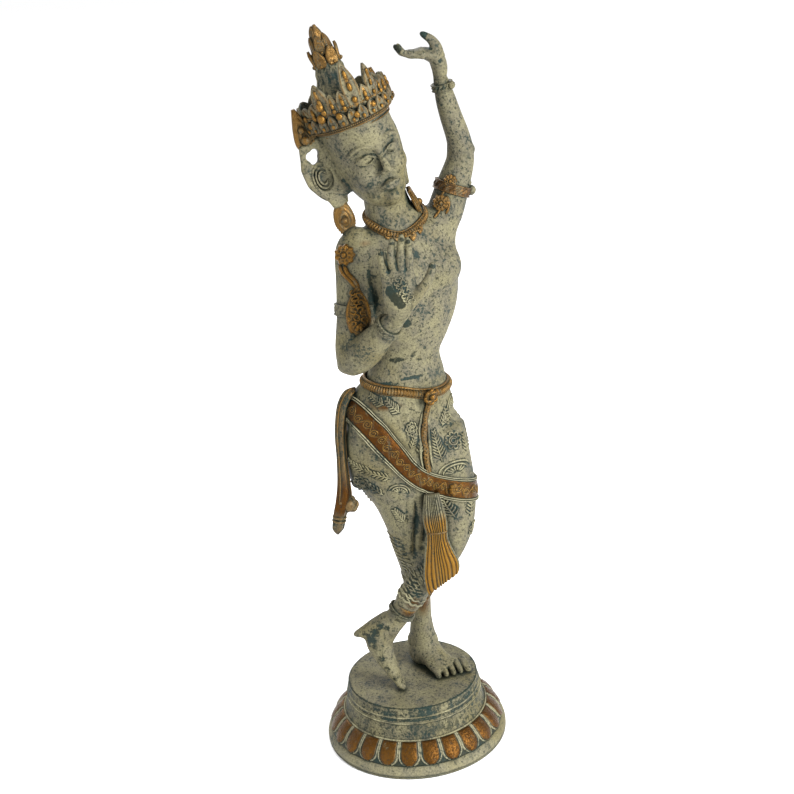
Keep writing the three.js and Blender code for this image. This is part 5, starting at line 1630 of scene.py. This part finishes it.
# a tie round a hanging piece at a height: the piece's own oval there, a little larger
def tieRound(rows, front, height, count, deep=1.0):
    along, side, ahead = directions(rows[:, :3], front)
    k = int(np.argmin(np.abs(rows[:, 2] - height)))
    turn = wholeTurn(count)[:, None]
    across, outward = rows[k, 3] + 0.1, rows[k, 4] * deep + 0.1
    return rows[k, :3] + side[k] * np.cos(turn) * across + ahead[k] * np.sin(turn) * outward, along[k]


# a ribbed ring tilted by its outward x, a knot of loops and a cord plaited of three strands
def makeBelt():
    line, axis = ringRound(pelvis, hipFront, 0.05, -0.2, 900)
    out = unit((line - line.mean(0)) * [1, 1, 0])
    line[:, 2] += np.minimum(2.6 - 3.2 * out[:, 0], 3.0) - 1.4 * (out @ hipFront)
    line = hugging(line, (5, 0), [torsoTree, hipTree], 0.3, 30)
    parts = [ribbedRing(line, upward, 1.45, 96, 0.13, 12)]
    for lift, stand, thick in [(1.9, -0.5, 0.6), (-1.7, -0.2, 0.5)]:
        parts.append(carried((line + out * stand + upward * lift)[::3], circle(8), upward, thick, ring=True))
    addPiece("belt", joined(*parts), washedGold, ["belt"])

    spot = onHips(-47, 168.2, 2.4)
    out = np.array([0.62, -0.78, 0])
    right = np.cross(upward, out)
    loops = knotLoops(spot + out * 0.3, right, out, out, buckleKnot)
    loops.append(
        beads([spot + out * 1.1, spot + out * 0.5 + right * 3.2 + upward * 1.6], np.array([1.4, 1.0]), sides=10)
    )
    addPiece("beltBuckle", joined(*loops), rubbedGold, ["belt_buckle"])

    # braided cord that falls from the buckle between two plain edges
    path = smoothRows(
        [(-47, 166), (-54, 162.5), (-60.5, 158.6), (-65, 153), (-66.5, 147), (-66.5, 141), (-65, 136)], 110,
    )
    middle = onHips(path[:, 0], path[:, 1], 1.0)
    t = np.linspace(0, 1, 110)
    parts = []
    for phase in [0, 2 * math.pi / 3, 4 * math.pi / 3]:
        swing = np.sin(t * 44 + phase)
        lift = 0.4 * np.cos(2 * (t * 44 + phase))
        strand = onHips(path[:, 0] + swing * 0.95 / mmPerDegree, path[:, 1], 1.0 + lift)
        parts.append(wire(strand, 0.6, hipFront + [0, 0, 0.01], 6))
    parts.append(carried(middle, circle(8, 1.2, 0.35), hipFront + np.array([0, 0, 0.01]), 1.0))
    addPiece("beltCord", joined(*parts), washedGold, ["belt_cord"])
    edges = []
    for shift, top in [(-7.5, 20), (8, 14)]:
        part = path[top:-4]
        edges.append(wire(onHips(part[:, 0] + shift, part[:, 1], 0.3), 0.5, sides=7))
    addPiece("cordEdges", joined(*edges), ridgeWash)


# the sash's hanging end: a lobed section carried down a line, with cords along it and a knot near its foot
def makeSashTail():
    stations = [
        (-16.2, -5, 172.6, 1.9, 1.6), (-20, -6, 168.8, 2.5, 2.0), (-22.4, -7, 163.8, 2.5, 2.0),
        (-24.2, -8.4, 153.7, 2.3, 1.9),
        (-24.7, -9.4, 143, 2.1, 1.9), (-24.9, -10.2, 132.4, 2.6, 2.2), (-25.6, -10.8, 124.4, 3.2, 2.4),
        (-27.9, -11, 117.4, 2.7, 2.3),
        (-29.1, -11, 112, 2.5, 2.1), (-29.8, -11, 108, 2.1, 1.9),
    ]
    rows = smoothRows(stations, 120)
    turn = wholeTurn(40)
    # two strands side by side, each with a ridge, seen as a lobed section
    lobes = 1 + 0.16 * np.cos(turn * 4) * (np.sin(turn) > -0.2)
    profile = circle(40) * lobes[:, None]
    t = np.linspace(0, 1, 120)
    size = rows[:, 3:] * (np.clip(np.minimum(t * 14, (1 - t) * 12), 0.05, 1) ** 0.5)[:, None]
    places = [0, 0.1, 0.5, 0.6, 0.74, 0.82, 1]  # shares of the length, with the gold and the dark at each
    gild = np.interp(t, places, [0.8, 0.5, 0.6, 1, 1, 0.5, 0.6])
    hollow = np.interp(t, places, [0.5, 0.68, 0.64, 0.46, 0.5, 0.72, 0.7])
    layers = {"gild": np.repeat(gild, 40), "hollow": np.repeat(hollow, 40)}
    tail = carried(rows[:, :3], profile, hipFront, size)
    addPiece("sashTail", tail, patinaWash, ["sash_tail"], layers=layers)
    edges = []
    _, side, ahead = directions(rows[:, :3], hipFront)
    for shift in [-0.82, 0.05, 0.86]:
        stand = math.sqrt(max(0.05, 1 - shift**2)) * 1.02
        edges.append(wire((rows[:, :3] + side * rows[:, 3:4] * shift + ahead * rows[:, 4:5] * stand)[2:84:2], 0.34))
    addPiece("tailEdges", joined(*edges), washedGold)
    centre = np.array([-23.6, -11.0, 121.6])
    knot = knotLoops(centre, np.array([1.0, 0, 0]), np.array([0, 1.0, 0]), np.array([0, -1.0, 0]), endKnot)
    knot.append(
        beads([centre, centre + [-3.0, 0, 1.6], centre + [1.6, 0.2, -1.6]], np.array([3.0, 2.2, 2.0]), sides=12)
    )
    for height in [114.6, 116.4]:
        ring, along = tieRound(rows, hipFront, height, 36)
        knot.append(carried(ring, circle(6), along, 0.5, ring=True))
    addPiece("tailKnot", joined(*knot), knottedGold)


fan = {"rows": 110, "columns": 133, "pleats": 10, "slant": 4.6}


# pleated cloth: an open fan whose section ripples, narrow at the top and wide at the hem
def makePleats():
    stations = [
        (11.6, -19.6, 127, 3.2, 1.6), (11.7, -20.4, 121, 4.1, 2.2), (12.0, -21, 115.4, 4.6, 2.5),
        (12.4, -21.2, 110.6, 4.2, 2.2),
        (12.3, -21.2, 106.6, 4.3, 1.9), (12.5, -21.2, 99.6, 5.8, 2.1), (13, -21, 92.8, 7.4, 2.1),
        (13.2, -20.8, 87.4, 7.2, 1.9),
        (13.2, -20.6, 85, 6.4, 1.5),
    ]
    rows = smoothRows(stations, fan["rows"])
    across = np.linspace(-1, 1, fan["columns"])
    run = np.linspace(0, 1, fan["rows"])
    pleat = np.abs(np.sin((across * 0.5 + 0.5 + 0.03 * np.sin(across * 5)) * math.pi * fan["pleats"])) ** 0.8
    flare = np.clip((run - 0.5) / 0.5, 0, 1)  # the lower half slants
    _, side, ahead = directions(rows[:, :3], viewFront)
    toRight = np.sign(side[0, 0])
    depth = rows[:, 4:5] * (np.sqrt(np.clip(1 - across[None] ** 2, 0.02, 1)) * 0.8 + pleat[None] * 0.24)
    hem = 1 - 0.5 * np.clip((run - 0.95) / 0.05, 0, 1)[:, None]
    face = rows[:, None, :3] + side[:, None] * (
        across[None] * rows[:, 3:4]
    )[..., None] + ahead[:, None] * (depth * hem)[..., None]
    face[..., 2] += flare[:, None] * (across[None] * toRight * fan["slant"] - pleat[None] * 0.7)
    back = rows[:, None, :3] + side[:, None] * (
        across[None, ::-6] * rows[:, 3:4]
    )[..., None] - ahead[:, None] * rows[:, None, 4:5]
    back[..., 2] += flare[:, None] * across[None, ::-6] * toRight * fan["slant"]
    shape = gridShape(np.concatenate([face, back], 1))
    low = np.concatenate([np.clip(0.84 - pleat * 0.8, 0, 1), np.zeros(back.shape[1])])[None] + 0 * run[:, None]
    front = np.concatenate(
        [np.ones(fan["columns"]), np.zeros(back.shape[1])]
    )[None] * np.clip((run - 0.16) * 9, 0, 1)[:, None]
    layers = {"hollow": low.ravel(), "gild": front.ravel()}
    addPiece("pleatedFan", shape, fanWash, ["pleated_fan"], layers=layers)
    ring, _ = tieRound(rows, viewFront, 110.2, 40, 0.95)
    addPiece("fanTies", carried(ring, circle(6), upward, 0.45, ring=True), washedGold)
    edges = []
    for sign in [-1, 1]:
        line = rows[:, :3] + side * rows[:, 3:4] * sign + ahead * 0.4
        line[:, 2] += flare * sign * toRight * fan["slant"]
        edges.append(wire(line[8:104:2], 0.5))
    addPiece("fanEdges", joined(*edges), patinaWash)


# strokes of a leaf spray in the flat: a stem that curves and pairs of side strokes that shorten to the tip
def spray(length, pairs, spread, curve):
    t = np.linspace(0, 1, 12)
    stem = np.stack([curve * length * t**2, length * t], -1)
    strokes = [stem]
    for share in np.linspace(0.14, 0.92, pairs):
        root = np.array([curve * length * share**2, length * share])
        reach = spread * (1 - share * 0.62)
        u = np.linspace(0, 1, 7)
        for side in [-1, 1]:
            strokes.append(root + np.stack([side * reach * u + curve * u, reach * (0.35 * u + 0.55 * u**2)], -1))
    return strokes


# strokes of a round flower: two rings and petals between them
def flower(radius, petals):
    turn = np.linspace(0, 2 * math.pi, 30)
    strokes = [np.stack([np.cos(turn), np.sin(turn)], -1) * radius * share for share in (0.28, 0.5)]
    for k in range(petals):
        a = np.linspace(-1, 1, 11)
        way = 2 * math.pi * k / petals + a * math.pi / petals * 0.92
        reach = radius * (0.56 + 0.44 * (1 - a**2) ** 0.5)
        strokes.append(np.stack([np.cos(way) * reach, np.sin(way) * reach], -1))
    return strokes


# nested arcs of a leaf seen edge on, with short strokes between them
def arcs(width, height, count):
    t = np.linspace(0, math.pi, 18)
    strokes = [np.stack([np.cos(t) * width / 2 * k, np.sin(t) * height * k], -1) for k in (1.0, 0.72)]
    for share in np.linspace(0.12, 0.88, count):
        way = math.pi * share
        ends = np.array([[math.cos(way) * width / 2 * k, math.sin(way) * height * k] for k in (0.66, 0.15)])
        strokes.append(ends[0] + (ends[1] - ends[0]) * np.linspace(0, 1, 5)[:, None])
    return strokes


engraving = {
    "line": 0.4,
    # kind, angle, height, turn, then the sizes of the motif
    "front": [
        ("spray", -44, 138.5, -8, (15, 9, 3.4, 0.06)), ("flower", -25, 146.4, 0, (3.6, 8)),
        ("spray", -30, 153, 28, (8, 5, 2.4, 0.1)),
        ("flower", -17, 155.6, 0, (2.6, 7)), ("arcs", -33, 133.2, -6, (12.5, 4.6, 7)),
        ("spray", -12, 139, 14, (8, 5, 2.2, -0.1)),
        ("flower", -84, 156, 0, (3.0, 8)), ("spray", -100, 163.5, -52, (9, 6, 2.6, 0.1)),
        ("spray", -122, 167.4, -66, (8, 6, 2.4, 0.1)),
        ("spray", -76, 144.5, 10, (8, 5, 1.9, 0.1)), ("spray", -88, 147.5, 24, (7, 5, 1.9, 0.1)),
        ("spray", -134, 138, -70, (10, 7, 2.6, 0.08)), ("spray", -116, 135.6, -74, (9, 6, 2.4, 0.08)),
        ("arcs", -108, 128.6, 14, (9, 3.6, 6)),
        ("spray", -108, 113, -30, (8, 6, 3.0, 0.0)), ("spray", -128, 127.4, -50, (8, 5, 2.2, 0.1)),
        ("spray", -44, 114, -20, (9, 6, 2.6, 0.1)), ("spray", -30, 112.6, 16, (9, 6, 2.6, -0.1)),
        ("flower", -24, 106, 0, (2.8, 7)),
    ],
    "round": [
        ("spray", 12, 136, -6, (13, 7, 3.0, 0.08)), ("flower", 28, 148, 0, (3.4, 8)),
        ("spray", 48, 138, 12, (12, 7, 2.8, -0.08)),
        ("flower", 66, 152, 0, (3.4, 8)), ("spray", 84, 143, 0, (12, 7, 2.8, 0.08)),
        ("flower", 104, 158, 0, (3.2, 8)),
        ("arcs", 40, 160, 0, (12, 5, 7)), ("arcs", 4, 158, 0, (11, 5, 7)), ("arcs", 76, 162, 0, (11, 4.5, 7)),
        ("spray", 60, 112, 0, (13, 7, 3, 0.05)), ("flower", 92, 122, 0, (3.6, 8)),
        ("spray", 122, 118, 6, (13, 7, 3, 0.05)),
        ("spray", 150, 128, -6, (14, 8, 3, 0.05)), ("flower", 178, 140, 0, (3.4, 8)),
        ("spray", -168, 118, 4, (13, 7, 3, 0.05)),
        ("flower", -150, 132, 0, (3.2, 8)), ("flower", 30, 104, 0, (3, 7)), ("spray", 4, 108, 10, (10, 6, 2.6, 0.05)),
    ],
}


# darkens a piece beside strokes: cells the strokes pass are counted, spread to their neighbours, and
# hollow = max(hollow, 0.5 + 0.42 * min(1, spread * gain))
def darkenBeside(piece, strokes, gain=5.0, step=0.55):
    mesh = piece.data
    spots = np.empty(len(mesh.vertices) * 3)
    mesh.vertices.foreach_get("co", spots)
    spots = spots.reshape(-1, 3) * 1000 - figureAt
    hollow = np.empty(len(spots))
    mesh.attributes["hollow"].data.foreach_get("value", hollow)
    low = spots.min(0) - 3
    cells = ((spots - low) / step).astype(int)
    grid = np.zeros(cells.max(0) + 8)
    marks = np.concatenate([smoothRows(line, len(line) * 3) for line in strokes])
    at = ((marks - low) / step).astype(int)
    at = at[((at > 0) & (at < np.array(grid.shape) - 1)).all(1)]
    grid[tuple(at.T)] = 1
    for axis in [0, 1, 2] * 2:
        grid = (np.roll(grid, 1, axis) + np.roll(grid, -1, axis) + 2 * grid) / 4
    spread = np.clip(grid[tuple(cells.T)] * gain, 0, 1)
    mesh.attributes["hollow"].data.foreach_set("value", np.maximum(hollow, 0.5 + 0.42 * spread).astype(np.float32))


# raised lines on the cloth: each motif is turned, laid on the hips and followed by thin wire
def makeEngraving():
    kinds = {"spray": spray, "flower": flower, "arcs": arcs}
    shapes, strokes = [], []
    for kind, degrees, height, lean, sizes in engraving["front"] + engraving["round"]:
        turn = math.radians(-lean)
        for stroke in kinds[kind](*sizes):
            x = stroke[:, 0] * math.cos(turn) - stroke[:, 1] * math.sin(turn)
            z = stroke[:, 0] * math.sin(turn) + stroke[:, 1] * math.cos(turn)
            laid = onHips(degrees + x / mmPerDegree, height + z, 0.12)
            if np.linalg.norm(np.diff(laid, axis=0), axis=1).max() < 2.4:
                shapes.append(wire(laid, engraving["line"], sides=5))
                strokes.append(laid)
    # ladders of short strokes down both legs to a scalloped hem
    for line in [[(-6, 104), (-3.4, 95), (-0.4, 86), (1.6, 79)], [(13, 99), (7, 92), (1, 84.6), (-3, 78)]]:
        rows = smoothRows([(x, inFront, z) for x, z in line], 13)
        along = unit(np.gradient(rows, axis=0))
        for spot, way in zip(rows, along):
            for side in [-1, 1]:
                u = np.linspace(0.12, 1, 6)[:, None]
                across = np.array([way[2], 0, -way[0]]) * side
                laid = laidOn(hipTree, spot + (across * 2.6 - way * 1.5 * side) * u, 0.1)
                shapes.append(wire(laid, 0.34, sides=5))
                strokes.append(laid)
    addPiece("clothEngraving", joined(*shapes), ridgeWash)
    darkenBeside(bpy.data.objects["hipsAndLegs"], strokes)


# scalloped cords round both ankles of the cloth: the line rises by the size of a sine
def makeHems():
    parts = []
    for stations, share in [(leftLeg, 0.955), (rightLeg, 0.955)]:
        for offset, thick in [(0.0, 0.55), (-0.028, 0.4)]:
            line, axis = ringRound(stations, hipFront, share + offset, 0.1, 216)
            t = wholeTurn(216)
            line = line + axis * (0.7 * np.abs(np.sin(t * 6)))[:, None]
            parts.append(carried(line, circle(7), axis, thick, ring=True))
    addPiece("legHems", joined(*parts), ridgeWash)


makeBelt()
makeSash()
makeSashTail()
makePleats()
makeEngraving()
makeHems()
print("belt, sash and cloth made")


# small open curls on the palm: arcs of chance length, turn and size on a slanting grid
def makeHandMarks():
    shapes = []
    for k in range(24):
        centre = np.array([3.4 + 1.35 * (k % 3) + 0.62 * (k // 3), inFront, 226.0 - 1.25 * (k // 3) + 0.35 * (k % 3)])
        turn = np.linspace(0, chance.uniform(3.4, 5.6), 10) + chance.uniform(0, 6.28)
        line = centre + np.stack([np.cos(turn), 0 * turn, np.sin(turn)], -1) * chance.uniform(0.45, 0.75)
        shapes.append(wire(laidOn(rightHandTree, line, 0.1), 0.32, sides=5))
    addPiece("palmScrolls", joined(*shapes), ridgeWash)


makeHandMarks()
